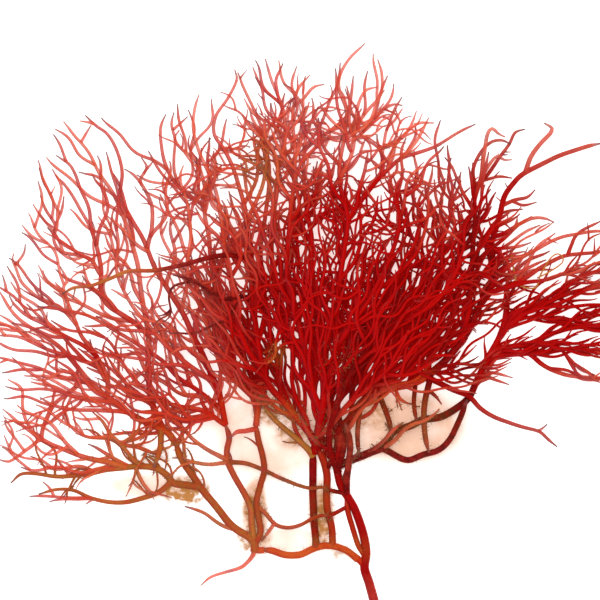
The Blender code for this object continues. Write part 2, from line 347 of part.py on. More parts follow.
    Axis("upper_a", LEFT, "rise_b", 0.7, 0.6, 0.42, (
        (33.8, 108.0), (30.5, 113.2), (26.0, 115.0), (20.8, 116.2), (18.2, 119.6), (18.7, 124.8),
        (20.4, 129.4), (21.4, 134.4))),
    Axis("upper_b", LEFT, "upper_a", 0.4, 0.5, 0.42, ((18.7, 124.6), (15.7, 129.8), (13.6, 134.8))),
    Axis("upper_c", LEFT, "rise_b", 0.2, 0.55, 0.42, (
        (31.2, 122.0), (27.2, 129.5), (24.6, 134.2), (21.6, 138.6), (18.4, 141.6))),
    Axis("upper_d", LEFT, "upper_a", 0.6, 0.5, 0.42, (
        (20.2, 128.8), (18.2, 132.2), (16.2, 136.5), (14.2, 140.5), (13.0, 143.8))),
    Axis("upper_e", LEFT, "left_upper", 0.5, 0.7, 0.42, (
        (49.0, 117.0), (50.6, 124.0), (50.7, 131.0), (48.6, 136.5), (47.1, 139.8), (49.0, 144.0),
        (47.2, 147.2))),
    Axis("upper_f", LEFT, "upper_e", 0.5, 0.42, 0.42, ((48.6, 142.8), (50.0, 144.6), (51.6, 146.6))),
    Axis("upper_g", LEFT, "left_inner", 0.3, 0.7, 0.42, (
        (68.3, 131.0), (62.6, 135.5), (57.6, 139.8), (54.9, 146.0), (53.7, 153.0), (53.8, 157.8),
        (55.3, 161.8))),
    Axis("upper_h", LEFT, "upper_g", 0.6, 0.5, 0.42, (
        (60.0, 137.6), (58.4, 142.0), (58.3, 147.5), (58.4, 153.0), (57.2, 158.3), (57.9, 162.4))),
    Axis("upper_i", LEFT, "left_inner", 0.6, 0.7, 0.42, (
        (72.6, 101.6), (66.5, 107.0), (62.6, 114.5), (60.0, 122.0), (56.5, 129.0), (53.4, 135.0))),
    Axis("upper_j", LEFT, "left_upper", 0.7, 0.65, 0.42, (
        (60.5, 96.4), (62.4, 104.5), (62.9, 113.0), (63.6, 122.0), (62.8, 131.0), (60.8, 138.0),
        (60.4, 141.6), (61.2, 144.6))),
    Axis("fan_a", LEFT, "left_stalk", 0.5, 0.7, 0.42, (
        (76.0, 46.6), (72.8, 48.2), (68.5, 50.7), (64.5, 53.7), (61.3, 57.2), (56.0, 60.4), (50.5, 63.4))),
    Axis("fan_b", LEFT, "left_stalk", 0.1, 0.6, 0.55, (
        (76.0, 46.2), (70.0, 45.3), (64.0, 46.0), (60.6, 47.4))),
    Axis("fan_c", LEFT, "arm", 0.4, 0.5, 0.42, ((61.6, 45.6), (61.2, 51.0), (60.5, 57.0), (59.8, 62.3))),
    Axis("fan_d", LEFT, "left_stalk", 0.6, 0.75, 0.42, (
        (75.0, 58.2), (70.0, 62.0), (65.0, 63.7), (59.0, 64.9), (53.0, 67.0), (47.5, 71.0), (43.0, 76.0),
        (40.0, 81.0), (36.5, 86.5), (31.0, 90.5))),
    Axis("fan_e", LEFT, "inner_stalk", 0.2, 0.75, 0.65, (
        (85.2, 57.4), (82.0, 56.5), (79.0, 56.2), (76.6, 54.2))),
    Axis("fan_f", LEFT, "left_inner", 0.6, 0.8, 0.42, (
        (85.8, 66.0), (80.5, 71.0), (75.5, 77.0), (72.0, 84.0), (69.0, 92.0), (66.0, 100.0), (62.0, 108.0),
        (57.0, 115.0), (54.0, 122.0), (54.5, 129.0))),
    Axis("fan_g", LEFT, "left_upper", 0.7, 0.75, 0.42, (
        (71.3, 73.0), (65.0, 77.0), (58.5, 82.0), (53.0, 88.0), (45.0, 97.0), (41.0, 104.0), (39.0, 112.0),
        (39.6, 120.0), (37.4, 127.5))),
    Axis("fan_h", LEFT, "left_upper", 0.1, 0.75, 0.42, (
        (74.4, 63.4), (67.0, 69.0), (60.0, 74.0), (54.0, 80.0), (44.0, 86.4), (37.0, 91.0), (29.0, 95.0),
        (21.0, 96.6), (13.0, 98.0))),
)

# Parts of the plan that side branches fill first, and parts that they leave open: centre, half width,
# half depth and strength.
Zone = namedtuple("Zone", "x y across along strength")
FULL_ZONES = (
    Zone(122, 74, 34, 16, 0.7), Zone(110, 142, 30, 34, 0.6), Zone(66, 62, 26, 12, 0.6),
    Zone(152, 120, 24, 30, 0.6),
)
OPEN_ZONES = (
    Zone(84, 168, 40, 18, 0.4), Zone(48, 142, 32, 24, 0.55), Zone(146, 154, 16, 12, 0.6),
    Zone(184, 122, 34, 14, 0.9), Zone(20, 142, 20, 18, 0.4), Zone(60, 112, 12, 14, 0.3),
    Zone(178, 146, 24, 14, 0.95), Zone(2, 74, 12, 16, 0.8), Zone(20, 62, 20, 12, 0.3),
    Zone(138, 61, 26, 13, 1.0), Zone(144, 147, 12, 10, 0.7), Zone(54, 146, 14, 10, 0.6),
)

# Side branches, order by order: bare share of the parent, share of the frond's triangles, spacing,
# length, fork angle in degrees, radius and tries.
HABITS = (
    Habit(1, 0.07, 0.74, (4.5, 7.5), (14.0, 32.0), (16.0, 46.0), 0.8, 7),
    Habit(2, 0.2, 0.90, (4.5, 8.0), (9.0, 19.0), (22.0, 56.0), 0.66, 5),
    Habit(3, 0.55, 1.00, (3.5, 6.5), (4.0, 9.0), (26.0, 60.0), 0.56, 4),
)
TRIANGLES = {LEFT: 7300, CENTRE: 8500, RIGHT: 5100}
LIMITS = {LEFT: 6150, CENTRE: 6850, RIGHT: 4250}

HOLDFAST_CENTRE = (126.3, -6.6, 4.3)
HOLDFAST_RADIUS = 4.4
HOLDFAST_SIDES = 14
HOLDFAST_PROFILE = ((-1.6, 0.62), (-1.2, 0.9), (-0.4, 1.0), (0.4, 0.86), (1.3, 0.52), (1.9, 0.47))
SOCKET_CLEARANCE = 0.32
SOCKET_DEPTH = 1.1

COLOURS = {
    LEFT: (0.62, 0.10, 0.08),
    CENTRE: (0.48, 0.02, 0.02),
    RIGHT: (0.40, 0.03, 0.03),
    "holdfast": (0.24, 0.09, 0.05),
}


def clear_scene():
    for item in list(bpy.data.objects):
        bpy.data.objects.remove(item, do_unlink=True)


def ease(value):
    value = np.clip(value, 0.0, 1.0)
    return value * value * (3.0 - 2.0 * value)


def heap_top(plan):
    """Height in millimetres that the heap of branches reaches above a plan point."""
    across = (plan[..., 0] - HEAP_CENTRE[0]) / HEAP_REACH[0]
    along = (plan[..., 1] - HEAP_CENTRE[1]) / HEAP_REACH[1]
    rim = ease(1.15 - np.hypot(across, along))
    stalks = np.exp(-((plan[..., 0] - 100.0) / 34.0) ** 2 - ((plan[..., 1] - 38.0) / 20.0) ** 2)
    return EDGE_HEIGHT + (HEAP_HEIGHT - EDGE_HEIGHT) * rim + STALK_HEIGHT * stalks


def spread_angle(point):
    """Direction, in radians, in which branches at a plan point run outwards."""
    angle = math.atan2(point[1] - FIELD_FOCUS[1], point[0] - FIELD_FOCUS[0])
    if point[0] > 138.0:
        angle -= math.radians(22.0) * float(ease((point[0] - 138.0) / 34.0))
    if angle < -0.5 * math.pi:
        angle += 2.0 * math.pi
    return angle


def zone_strength(point, zones):
    """How far a plan point belongs to the zones: nothing outside them, their strength in the middle."""
    inside = 0.0
    for zone in zones:
        reach = math.hypot((point[0] - zone.x) / zone.across, (point[1] - zone.y) / zone.along)
        inside = max(inside, zone.strength * float(ease(1.6 * (1.0 - reach))))
    return inside


def inside_outline(plan):
    corners = np.array(OUTLINE, float)
    following = np.roll(corners, -1, axis=0)
    x, y = plan[:, 0][:, None], plan[:, 1][:, None]
    spans = (corners[:, 1] > y) != (following[:, 1] > y)
    rise = np.where(following[:, 1] == corners[:, 1], 1e-9, following[:, 1] - corners[:, 1])
    crossing = corners[:, 0] + (y - corners[:, 1]) / rise * (following[:, 0] - corners[:, 0])
    return (spans & (x < crossing)).sum(axis=1) % 2 == 1


def follow(points, steps=10):
    """Smooth curve through the points, as a dense run of samples."""
    points = np.array(points, float)
    ends = np.vstack([2 * points[0] - points[1], points, 2 * points[-1] - points[-2]])
    run = []
    for index in range(1, len(ends) - 2):
        before, start, end, after = ends[index - 1:index + 3]
        for step in range(steps):
            t = step / steps
            run.append(0.5 * (2 * start + (end - before) * t
                              + (2 * before - 5 * start + 4 * end - after) * t * t
                              + (3 * start - before - 3 * end + after) * t ** 3))
    run.append(points[-1])
    return np.array(run)


def arc_length(run):
    return np.concatenate([[0.0], np.cumsum(np.linalg.norm(np.diff(run[:, :2], axis=0), axis=1))])


def space_out(run, count):
    """The run cut into equal steps along its plan length."""
    length = arc_length(run)
    marks = np.linspace(0.0, length[-1], count + 1)
    return np.column_stack([np.interp(marks, length, run[:, axis]) for axis in range(run.shape[1])])


class Branch:
    """One tapering branch: ring centres, ring radii, its node, its order and its layer in the heap."""

    def __init__(self, name, frond, level, layer, rings, radii, parent=None):
        self.name = name
        self.frond = frond
        self.level = level
        self.layer = layer
        self.rings = rings
        self.radii = radii
        self.parent = parent
        self.length = arc_length(rings)

    def at(self, distance):
        place = [float(np.interp(distance, self.length, self.rings[:, axis])) for axis in range(3)]
        return np.array(place), float(np.interp(distance, self.length, self.radii))

    def heading(self, distance):
        after, _ = self.at(min(distance + 1.0, self.length[-1]))
        before, _ = self.at(max(distance - 1.0, 0.0))
        return math.atan2(after[1] - before[1], after[0] - before[0])

    def nearest(self, point):
        marks = np.linspace(0.0, self.length[-1], max(int(self.length[-1] * 4), 2))
        x = np.interp(marks, self.length, self.rings[:, 0])
        y = np.interp(marks, self.length, self.rings[:, 1])
        return float(marks[np.argmin(np.hypot(x - point[0], y - point[1]))])

    def triangles(self):
        return 2 * sides_of(self) * (len(self.rings) - 1) + 12


def sides_of(branch):
    thickest = float(branch.radii[0])
    if thickest >= 1.05 and branch.level == 0:
        return 6
    return 4 if thickest >= 0.85 and branch.level == 0 else 3


def samples_of(rings, radii):
    """Points every millimetre or so along the straight runs between rings."""
    marks = arc_length(rings)
    count = max(int(marks[-1] / 1.1), 3)
    along = np.linspace(0.0, marks[-1], count + 1)
    place = np.column_stack([np.interp(along, marks, rings[:, axis]) for axis in range(3)])
    return place, np.interp(along, marks, radii), along


class Plant:
    """Every branch placed so far, and the room that is left between them."""

    def __init__(self):
        self.branches = []
        self.named = {}
        self.place = np.zeros((0, 3))
        self.radius = np.zeros(0)
        self.frond = np.zeros(0, int)
        self.owner = np.zeros(0, int)
        self.random = np.random.default_rng(SEED)
        self.fronds = (LEFT, CENTRE, RIGHT)

    def add(self, branch):
        place, radius, _ = samples_of(branch.rings, branch.radii)
        self.place = np.vstack([self.place, place])
        self.radius = np.concatenate([self.radius, radius])
        self.frond = np.concatenate([self.frond, np.full(len(place), self.fronds.index(branch.frond))])
        self.owner = np.concatenate([self.owner, np.full(len(place), len(self.branches))])
        self.branches.append(branch)
        self.named[branch.name] = branch

    def crowding(self, rings, radii, frond, root_free):
        """Smallest gap to other fronds, and how far the branch runs through its own frond."""
        place, radius, along = samples_of(rings, radii)
        low, high = place.min(axis=0) - 3.2, place.max(axis=0) + 3.2
        near = np.all((self.place > low) & (self.place < high), axis=1)
        if not near.any():
            return 9.0, 0
        apart = np.linalg.norm(place[:, None, :] - self.place[near][None, :, :], axis=2)
        gap = apart - radius[:, None] - self.radius[near][None, :]
        own = self.frond[near] == self.fronds.index(frond)
        other_gap = float(gap[:, ~own].min()) if (~own).any() else 9.0
        later = along > root_free
        touches = 0
        if own.any() and later.any():
            touches = int((gap[later][:, own].min(axis=1) < 0.12).sum())
        return other_gap, touches

    def heights(self, plan, radii, start, first, last):
        """Ring heights that leave the start height and settle between two layers of the heap."""
        length = arc_length(plan)
        share = length / max(length[-1], 1e-6)
        layer = first + (last - first) * share
        floor = FLOOR_SINK * radii
        room = np.maximum(heap_top(plan) - floor - radii, 0.0)
        settled = floor + layer * room
        if start is None:
            return settled
        blend = max(5.0, 2.2 * abs(float(settled[min(1, len(settled) - 1)]) - start))
        weight = ease(length / blend)
        return np.maximum(start + (settled - start) * weight, floor)

    def place_axis(self, axis):
        """Put one traced axis in the heap, clear of the other fronds."""
        if len(axis.points[0]) == 3:
            run = follow(axis.points)
            rings = space_out(run, max(int(round(arc_length(run)[-1] / 6.0)), 2))
            rings[:, 2] = np.interp(arc_length(rings), arc_length(run), run[:, 2])
            radii = np.linspace(axis.base, axis.tip, len(rings))
            self.add(Branch(axis.name, axis.frond, 0, 0.0, rings, radii))
            return
        parent = self.named[axis.parent]
        root, thickness = parent.at(parent.nearest(axis.points[0]))
        run = follow((tuple(root[:2]),) + tuple(axis.points[1:]))
        plan = space_out(run, max(int(round(arc_length(run)[-1] / RING_STEP)), 2))
        radii = np.linspace(axis.base, axis.tip, len(plan)) * FULLNESS
        radii = np.maximum(np.minimum(radii, thickness + SWELLING * arc_length(plan)), SLIMMEST)
        best = None
        for first in sorted(np.linspace(0.0, 1.0, 11), key=lambda f: abs(f - axis.layer)):
            for last in sorted(np.linspace(0.0, 1.0, 6), key=lambda f: abs(f - axis.layer)):
                height = self.heights(plan, radii, root[2], first, last)
                rings = np.column_stack([plan, height])
                gap, touches = self.crowding(rings, radii, axis.frond, 7.0)
                cost = touches + 6.0 * abs(first - axis.layer) + 3.0 * abs(last - axis.layer)
                cost += 1000.0 * max(NODE_GAP - gap, 0.0) + (200.0 if gap < NODE_GAP else 0.0)
                if best is None or cost < best[0]:
                    best = (cost, rings, first, gap)
        if best[3] < NODE_GAP:
            print("no room for", axis.name, round(best[3], 2))
            return
        self.add(Branch(axis.name, axis.frond, 0, best[2], best[1], radii, parent))

    def shoot(self, parent, distance, side, habit):
        """One side branch from the parent, or nothing where there is no room for it."""
        random = self.random
        root, thickness = parent.at(distance)
        length = random.uniform(*habit.length)
        angle = parent.heading(distance) + side * math.radians(random.uniform(*habit.angle))
        phase, bend = random.uniform(0.0, 2.0 * math.pi), math.radians(random.uniform(3.0, 11.0))
        steps = max(int(length / 1.5), 3)
        point, path = root[:2].copy(), [root[:2].copy()]
        for step in range(steps):
            share = (step + 1) / steps
            turn = spread_angle(point) - angle
            turn = (turn + math.pi) % (2 * math.pi) - math.pi
            angle += 0.07 * turn + bend * math.cos(share * length / 2.6 + phase)
            point = point + length / steps * np.array([math.cos(angle), math.sin(angle)])
            path.append(point.copy())
        path = np.array(path)
        inside = inside_outline(path[1:])
        if not inside.all():
            keep = int(np.argmin(inside)) + 1
            if keep < 3 or keep * length / steps < 0.55 * length:
                return None
            path, length = path[:keep], length * keep / steps
        count = max(int(round(length / (5.5 if habit.level < 3 else 3.5))), 1)
        plan = space_out(path, count)
        start = min(habit.radius, 0.92 * thickness)
        radii = np.linspace(max(start, TIP_RADIUS), TIP_RADIUS, len(plan))
        for shift in (0.0, 0.14, -0.14, 0.3, -0.3, 0.5, -0.5)[:habit.tries]:
            first = min(max(parent.layer + shift + random.uniform(-0.06, 0.06), 0.0), 1.0)
            height = self.heights(plan, radii, root[2], first, first)
            rings = np.column_stack([plan, height])
            gap, touches = self.crowding(rings, radii, parent.frond, 3.4 + 2.0 * thickness)
            if gap >= NODE_GAP and touches == 0:
                name = "%s_%d_%d" % (parent.name, habit.level, len(self.branches))
                return Branch(name, parent.frond, habit.level, first, rings, radii, parent)
        return None

    def spacing_ok(self, branch):
        """Keep the open lace at the rim open: no new tip right beside another branch."""
        tip = branch.rings[-1]
        apart = np.hypot(self.place[:, 0] - tip[0], self.place[:, 1] - tip[1])
        crowded = float(heap_top(tip[:2])) / HEAP_HEIGHT
        return float(apart.min()) > 1.9 * (1.0 - crowded)

    def wanted(self, spot):
        place, _ = spot[0].at(spot[1])
        return self.random.random() > zone_strength(place, OPEN_ZONES)

    def branch_out(self, budget):
        """Grow side branches order by order until each frond has its triangles."""
        spent = {frond: sum(b.triangles() for b in self.branches if b.frond == frond)
                 for frond in self.fronds}
        for habit in HABITS:
            spots = []
            for parent in self.branches:
                if parent.name in BARE or parent.level >= habit.level:
                    continue
                if habit.level == 2 and parent.level == 0:
                    continue
                reach = float(parent.length[-1])
                distance = reach * habit.bare + self.random.uniform(1.0, habit.spacing[0])
                while distance < reach - 1.5:
                    spots.append((parent, distance))
                    distance += self.random.uniform(*habit.spacing)
            spots = [spot for spot in spots if self.wanted(spot)]
            turn = {spot: self.random.random() - zone_strength(spot[0].at(spot[1])[0], FULL_ZONES)
                    for spot in spots}
            spots.sort(key=turn.get)
            for parent, distance in spots:
                if spent[parent.frond] > habit.share * budget[parent.frond]:
                    continue
                side = 1 if self.random.random() < 0.5 else -1
                for turned in (side, -side):
                    branch = self.shoot(parent, distance, turned, habit)
                    if branch is not None and self.spacing_ok(branch):
                        self.add(branch)
                        spent[parent.frond] += branch.triangles()
                        break
        return spent


# Stalks and struts that stay bare.
BARE = {"runner", "stalk_upper", "stalk_lower", "arm", "left_stalk", "inner_stalk", "strand", "stub",
        "stem", "bow", "bow_strut", "crossing", "whip", "low_branch", "strut_a", "strut_b", "strut_c",
        "strut_d", "strut_e", "strut_f", "low_arc", "link_a", "link_b", "fan_b", "fan_e", "old_cross",
        "low_strut", "right_whip", "antler_a", "antler_b", "upright_b", "upright_c", "upright_d",
        "upright_e", "whip_fork", "far_tip", "spur_a", "spur_b", "stem_side", "join"}


def to_world(point):
    return Vector(((point[0] - ORIGIN_PLAN[0]) * MM, (point[1] - ORIGIN_PLAN[1]) * MM, point[2] * MM))


def tube(branch, roll):
    """Closed tapering tube through the rings of a branch, blunt at both ends."""
    sides = sides_of(branch)
    rings, radii = branch.rings, branch.radii
    steps = np.gradient(rings, axis=0)
    work = bmesh.new()
    loops = []
    for place, radius, step in zip(rings, radii, steps):
        forward = Vector(step).normalized()
        across = forward.cross(Vector((0, 0, 1))).normalized()
        upward = across.cross(forward)
        loop = []
        for index in range(sides):
            turn = roll + 2.0 * math.pi * index / sides
            offset = across * math.cos(turn) + upward * math.sin(turn)
            corner = np.array(place) + np.array(offset) * radius
            loop.append(work.verts.new(to_world(corner)))
        loops.append(loop)
    for before, after in zip(loops, loops[1:]):
        for index in range(sides):
            following = (index + 1) % sides
            work.faces.new((before[index], before[following], after[following], after[index]))
    work.faces.new(list(reversed(loops[0])))
    work.faces.new(loops[-1])
    bmesh.ops.recalc_face_normals(work, faces=work.faces)
    bmesh.ops.triangulate(work, faces=work.faces)
    mesh = bpy.data.meshes.new(branch.name)
    work.to_mesh(mesh)
    work.free()
    return bpy.data.objects.new(branch.name, mesh)


def boolean(target, operation, collection=None, cutter=None):
    """Apply one Boolean to the target and keep its result as a plain mesh."""
    modifier = target.modifiers.new("join", "BOOLEAN")
    modifier.operation = operation
    modifier.solver = "MANIFOLD"
    if collection is not None:
        modifier.operand_type = "COLLECTION"
        modifier.collection = collection
    else:
        modifier.object = cutter
    bpy.context.view_layer.update()
    result = bpy.data.meshes.new_from_object(target.evaluated_get(bpy.context.evaluated_depsgraph_get()))
    target.modifiers.remove(modifier)
    target.data = result


def slab(low, high):
    """Closed box between two world corners, as a cutter."""
    work = bmesh.new()
    bmesh.ops.create_cube(work, size=1.0)
    size = Vector(high) - Vector(low)
    bmesh.ops.transform(work, matrix=Matrix.Diagonal((*size, 1.0)), verts=work.verts)
    bmesh.ops.translate(work, vec=(Vector(low) + Vector(high)) / 2.0, verts=work.verts)
    mesh = bpy.data.meshes.new("cutter")
    work.to_mesh(mesh)
    work.free()
    item = bpy.data.objects.new("cutter", mesh)
    bpy.context.scene.collection.objects.link(item)
    return item


def remove(item):
    bpy.data.objects.remove(item, do_unlink=True)


def trim_underside(item):
    """Cut the piece flat where it lies on the surface."""
    ground = slab((-0.3, -0.3, -0.01), (0.3, 0.3, 0.0))
    boolean(item, "DIFFERENCE", cutter=ground)
    remove(ground)


def paint(item, name):
    material = bpy.data.materials.new(name)
    material.use_nodes = True
    shader = material.node_tree.nodes["Principled BSDF"]
    shader.inputs["Base Color"].default_value = (*COLOURS[name], 1.0)
    shader.inputs["Roughness"].default_value = 0.38
    item.data.materials.clear()
    item.data.materials.append(material)


def tidy(item, limit):
    """Drop loose scraps, and the needless corners that a union leaves, down to a triangle limit."""
    work = bmesh.new()
    work.from_mesh(item.data)
    bmesh.ops.triangulate(work, faces=work.faces)
    left = set(work.verts)
    bodies = []
    while left:
        body, front = set(), [left.pop()]
        while front:
            vertex = front.pop()
            body.add(vertex)
            for edge in vertex.link_edges:
                other = edge.other_vert(vertex)
                if other in left:
                    left.discard(other)
                    front.append(other)
        bodies.append(body)
    bodies.sort(key=len, reverse=True)
    loose = [vertex for body in bodies[1:] for vertex in body]
    if loose:
        print(item.name, "loose bodies dropped:", len(bodies) - 1, "vertices:", len(loose))
        bmesh.ops.delete(work, geom=loose, context="VERTS")
    work.to_mesh(item.data)
    before = len(work.faces)
    work.free()
    if before > limit:
        modifier = item.modifiers.new("fewer", "DECIMATE")
        modifier.ratio = limit / before
        modifier.use_collapse_triangulate = True
        bpy.context.view_layer.update()
        result = bpy.data.meshes.new_from_object(
            item.evaluated_get(bpy.context.evaluated_depsgraph_get()))
        item.modifiers.remove(modifier)
        item.data = result
    work = bmesh.new()
    work.from_mesh(item.data)
    open_edges = sum(1 for edge in work.edges if not edge.is_manifold)
    print(item.name, "triangles", before, len(work.faces), "open edges", open_edges)
    work.free()


def build_frond(plant, frond):
    """One frond: all its tubes fused, trimmed flat where it lies on the surface."""
    random = np.random.default_rng(SEED + len(frond))
    collection = bpy.data.collections.new(frond + "_tubes")
    bpy.context.scene.collection.children.link(collection)
    tubes = [tube(branch, 0.0 if sides_of(branch) == 6 else float(random.uniform(0.0, 2.0)))
             for branch in plant.branches if branch.frond == frond]
    for item in tubes[1:]:
        collection.objects.link(item)
    base = tubes[0]
    base.name = frond
    bpy.context.scene.collection.objects.link(base)
    boolean(base, "UNION", collection=collection)
    for item in tubes[1:]:
        remove(item)
    bpy.data.collections.remove(collection)
    tidy(base, LIMITS[frond])
    trim_underside(base)
    paint(base, frond)
    return base


def ring_solid(name, rings):
    """Closed solid through a list of equal rings of world points, fanned at both ends."""
    work = bmesh.new()
    loops = [[work.verts.new(point) for point in ring] for ring in rings]
    count = len(loops[0])
    for before, after in zip(loops, loops[1:]):
        for index in range(count):
            following = (index + 1) % count
            work.faces.new((before[index], before[following], after[following], after[index]))
    for loop in (loops[0], loops[-1]):
        centre = sum((vertex.co for vertex in loop), Vector()) / count
        hub = work.verts.new(centre)
        for index in range(count):
            work.faces.new((loop[index], loop[(index + 1) % count], hub))
    bmesh.ops.recalc_face_normals(work, faces=work.faces)
    bmesh.ops.triangulate(work, faces=work.faces)
    mesh = bpy.data.meshes.new(name)
    work.to_mesh(mesh)
    work.free()
    item = bpy.data.objects.new(name, mesh)
    bpy.context.scene.collection.objects.link(item)
    return item


def build_holdfast(plant):
    """Small lobed disc on its rim, with a plain socket for the end of the stem."""
    stem = plant.named["stem"]
    root = np.array(stem.rings[0])
    forward = Vector(np.array(stem.rings[1]) - root)
    forward.z = 0.0
    forward.normalize()
    across = forward.cross(Vector((0, 0, 1))).normalized()
    upward = across.cross(forward)
    centre = Vector(HOLDFAST_CENTRE)

    def ring(along, scale, lobes):
        points = []
        for index in range(HOLDFAST_SIDES):
            turn = 2.0 * math.pi * index / HOLDFAST_SIDES
            wave = 1.0 + lobes * (0.09 * math.sin(3 * turn + 0.6) + 0.06 * math.cos(5 * turn + 1.1))
            reach = HOLDFAST_RADIUS * scale * wave
            point = centre + forward * along + (across * math.cos(turn) + upward * math.sin(turn)) * reach
            points.append(to_world(point))
        return points

    item = ring_solid("holdfast", [ring(along, scale, 1.0 if scale > 0.8 else 0.4)
                                   for along, scale in HOLDFAST_PROFILE])
    reach = float(stem.radii[0]) + SOCKET_CLEARANCE
    bottom = Vector(root) - forward * SOCKET_CLEARANCE
    socket_rings = []
    for along in (0.0, SOCKET_DEPTH + 3.0):
        points = []
        for index in range(12):
            turn = 2.0 * math.pi * (index + 0.5) / 12
            offset = (across * math.cos(turn) + upward * math.sin(turn)) * reach
            points.append(to_world(bottom + forward * along + offset))
        socket_rings.append(points)
    socket = ring_solid("socket", socket_rings)
    boolean(item, "DIFFERENCE", cutter=socket)
    remove(socket)
    trim_underside(item)
    tidy(item, 400)
    paint(item, "holdfast")
    return item


def main():
    clear_scene()
    plant = Plant()
    for axis in AXES:
        plant.place_axis(axis)
    print("traced", len(plant.branches), "samples", len(plant.place))
    spent = plant.branch_out(TRIANGLES)
    print("branches", len(plant.branches), spent)
    for frond in plant.fronds:
        build_frond(plant, frond)
    build_holdfast(plant)


main()
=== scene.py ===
"""Gracilaria seaweed laid flat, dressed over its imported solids.

The three fronds, their finest branchlets, the disc that they grew from and the fuzz that lives on
them are made here round the same routes as the solids have. Lengths in the tables are millimetres.
The plan is read from above: X runs to the right and Y runs from the stem towards the tips, both
counted from the lower left corner of a 200 mm square. Heights are counted from the surface that the
plant lies on.
"""

import functools
import json
import math
from collections import namedtuple

import bmesh
import bpy
import numpy as np
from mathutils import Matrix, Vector

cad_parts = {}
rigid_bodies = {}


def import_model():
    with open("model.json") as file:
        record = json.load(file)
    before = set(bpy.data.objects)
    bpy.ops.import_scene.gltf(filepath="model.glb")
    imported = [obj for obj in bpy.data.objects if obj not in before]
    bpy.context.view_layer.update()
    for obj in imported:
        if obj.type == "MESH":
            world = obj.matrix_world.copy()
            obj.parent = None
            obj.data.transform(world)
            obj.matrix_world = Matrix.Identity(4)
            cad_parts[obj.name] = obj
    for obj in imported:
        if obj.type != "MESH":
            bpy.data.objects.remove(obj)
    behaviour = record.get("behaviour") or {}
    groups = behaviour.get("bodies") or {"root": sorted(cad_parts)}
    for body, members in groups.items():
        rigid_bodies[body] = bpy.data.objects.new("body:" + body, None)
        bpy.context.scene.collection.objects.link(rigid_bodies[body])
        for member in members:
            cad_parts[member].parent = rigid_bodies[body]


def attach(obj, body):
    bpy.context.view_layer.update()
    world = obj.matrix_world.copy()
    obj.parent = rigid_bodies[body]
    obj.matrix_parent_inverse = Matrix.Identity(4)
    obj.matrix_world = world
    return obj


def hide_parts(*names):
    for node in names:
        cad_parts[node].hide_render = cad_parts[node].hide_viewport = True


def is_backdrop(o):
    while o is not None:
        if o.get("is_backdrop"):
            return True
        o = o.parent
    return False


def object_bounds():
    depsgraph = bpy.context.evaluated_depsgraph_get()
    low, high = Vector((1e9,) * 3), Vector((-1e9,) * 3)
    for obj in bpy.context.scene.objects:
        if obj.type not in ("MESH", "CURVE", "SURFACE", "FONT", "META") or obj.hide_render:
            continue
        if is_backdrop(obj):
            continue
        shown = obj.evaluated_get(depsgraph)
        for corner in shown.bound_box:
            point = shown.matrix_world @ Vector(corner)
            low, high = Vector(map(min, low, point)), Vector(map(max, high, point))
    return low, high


bl_info = {
    "name": "Gracilaria Seaweed",
    "version": (1, 0, 0),
    "blender": (4, 5, 0),
    "location": "View3D > Sidebar > Seaweed",
    "description": "Fronds, branchlets, disc, fuzz and silt of a laid out red seaweed",
    "category": "Add Mesh",
}

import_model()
CAD_LOW, CAD_HIGH = (tuple(corner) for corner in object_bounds())

MM = 0.001
# The plan point that lies over the origin of the frame.
ORIGIN_PLAN = (104.2, 36.0)

SEED = 1154
# Smallest gap between branches of different fronds.
NODE_GAP = 0.38

# The heap that the branches lie in: its middle, its half widths, its heights in the middle and at the
# rim, and the low swell that carries the stalks.
HEAP_CENTRE = (108.0, 98.0)
HEAP_REACH = (104.0, 84.0)
HEAP_HEIGHT = 17.0
EDGE_HEIGHT = 3.6
HEAP_RIM = 1.15
STALK_CENTRE = (100.0, 38.0)
STALK_REACH = (34.0, 20.0)
STALK_HEIGHT = 2.6

# Small branches run away from the focus, and turn clockwise on the right.
FIELD_FOCUS = (104.0, 38.0)
BEND_START = 138.0
BEND_WIDTH = 34.0
BEND_ANGLE = math.radians(22.0)

# Distance between rings, shortest length over which a branch leaves its parent's height, radii, growth
# of a radius away from its parent, and the share of a radius at which the lowest centre lines run over
# the floor.
RING_STEP = 8.0
TRACED_STEP = 6.0
SAMPLE_STEP = 1.1
SHORTEST_RISE = 5.0
TIP_RADIUS = 0.5
FULLNESS = 1.16
SLIMMEST = 0.5
SWELLING = 0.04
FLOOR_SINK = 0.82

Axis = namedtuple("Axis", "name frond parent layer base tip points")
Habit = namedtuple("Habit", "level bare share spacing length angle radius tries")

# The spread of the fronds, clockwise from the lower left, as it lies on the surface.
OUTLINE = (
    (64, 34), (43, 31), (20, 32), (8, 34), (2, 39), (-1, 46), (0, 60), (2, 73), (-5, 82), (-5, 101),
    (3, 116), (13, 136), (12, 145), (20, 160), (28, 163), (38, 160), (48, 148), (54, 163), (66, 169),
    (78, 177), (88, 181), (96, 180), (107, 173), (121, 186), (127, 181), (134, 167), (145, 160),
    (158, 159), (150, 148), (155, 141), (159, 152), (163, 158), (175, 158), (185, 159), (200, 153),
    (186, 146), (173, 139), (180, 134), (176, 129), (185, 126), (180, 121), (200, 128), (212, 124),
    (217, 100), (212, 73), (200, 72), (186, 75), (173, 81), (167, 76), (158, 67), (150, 54), (133, 46),
    (117, 46), (104, 52), (92, 52), (78, 44), (66, 36),
)

LEFT, CENTRE, RIGHT = "frond_left", "frond_centre", "frond_right"

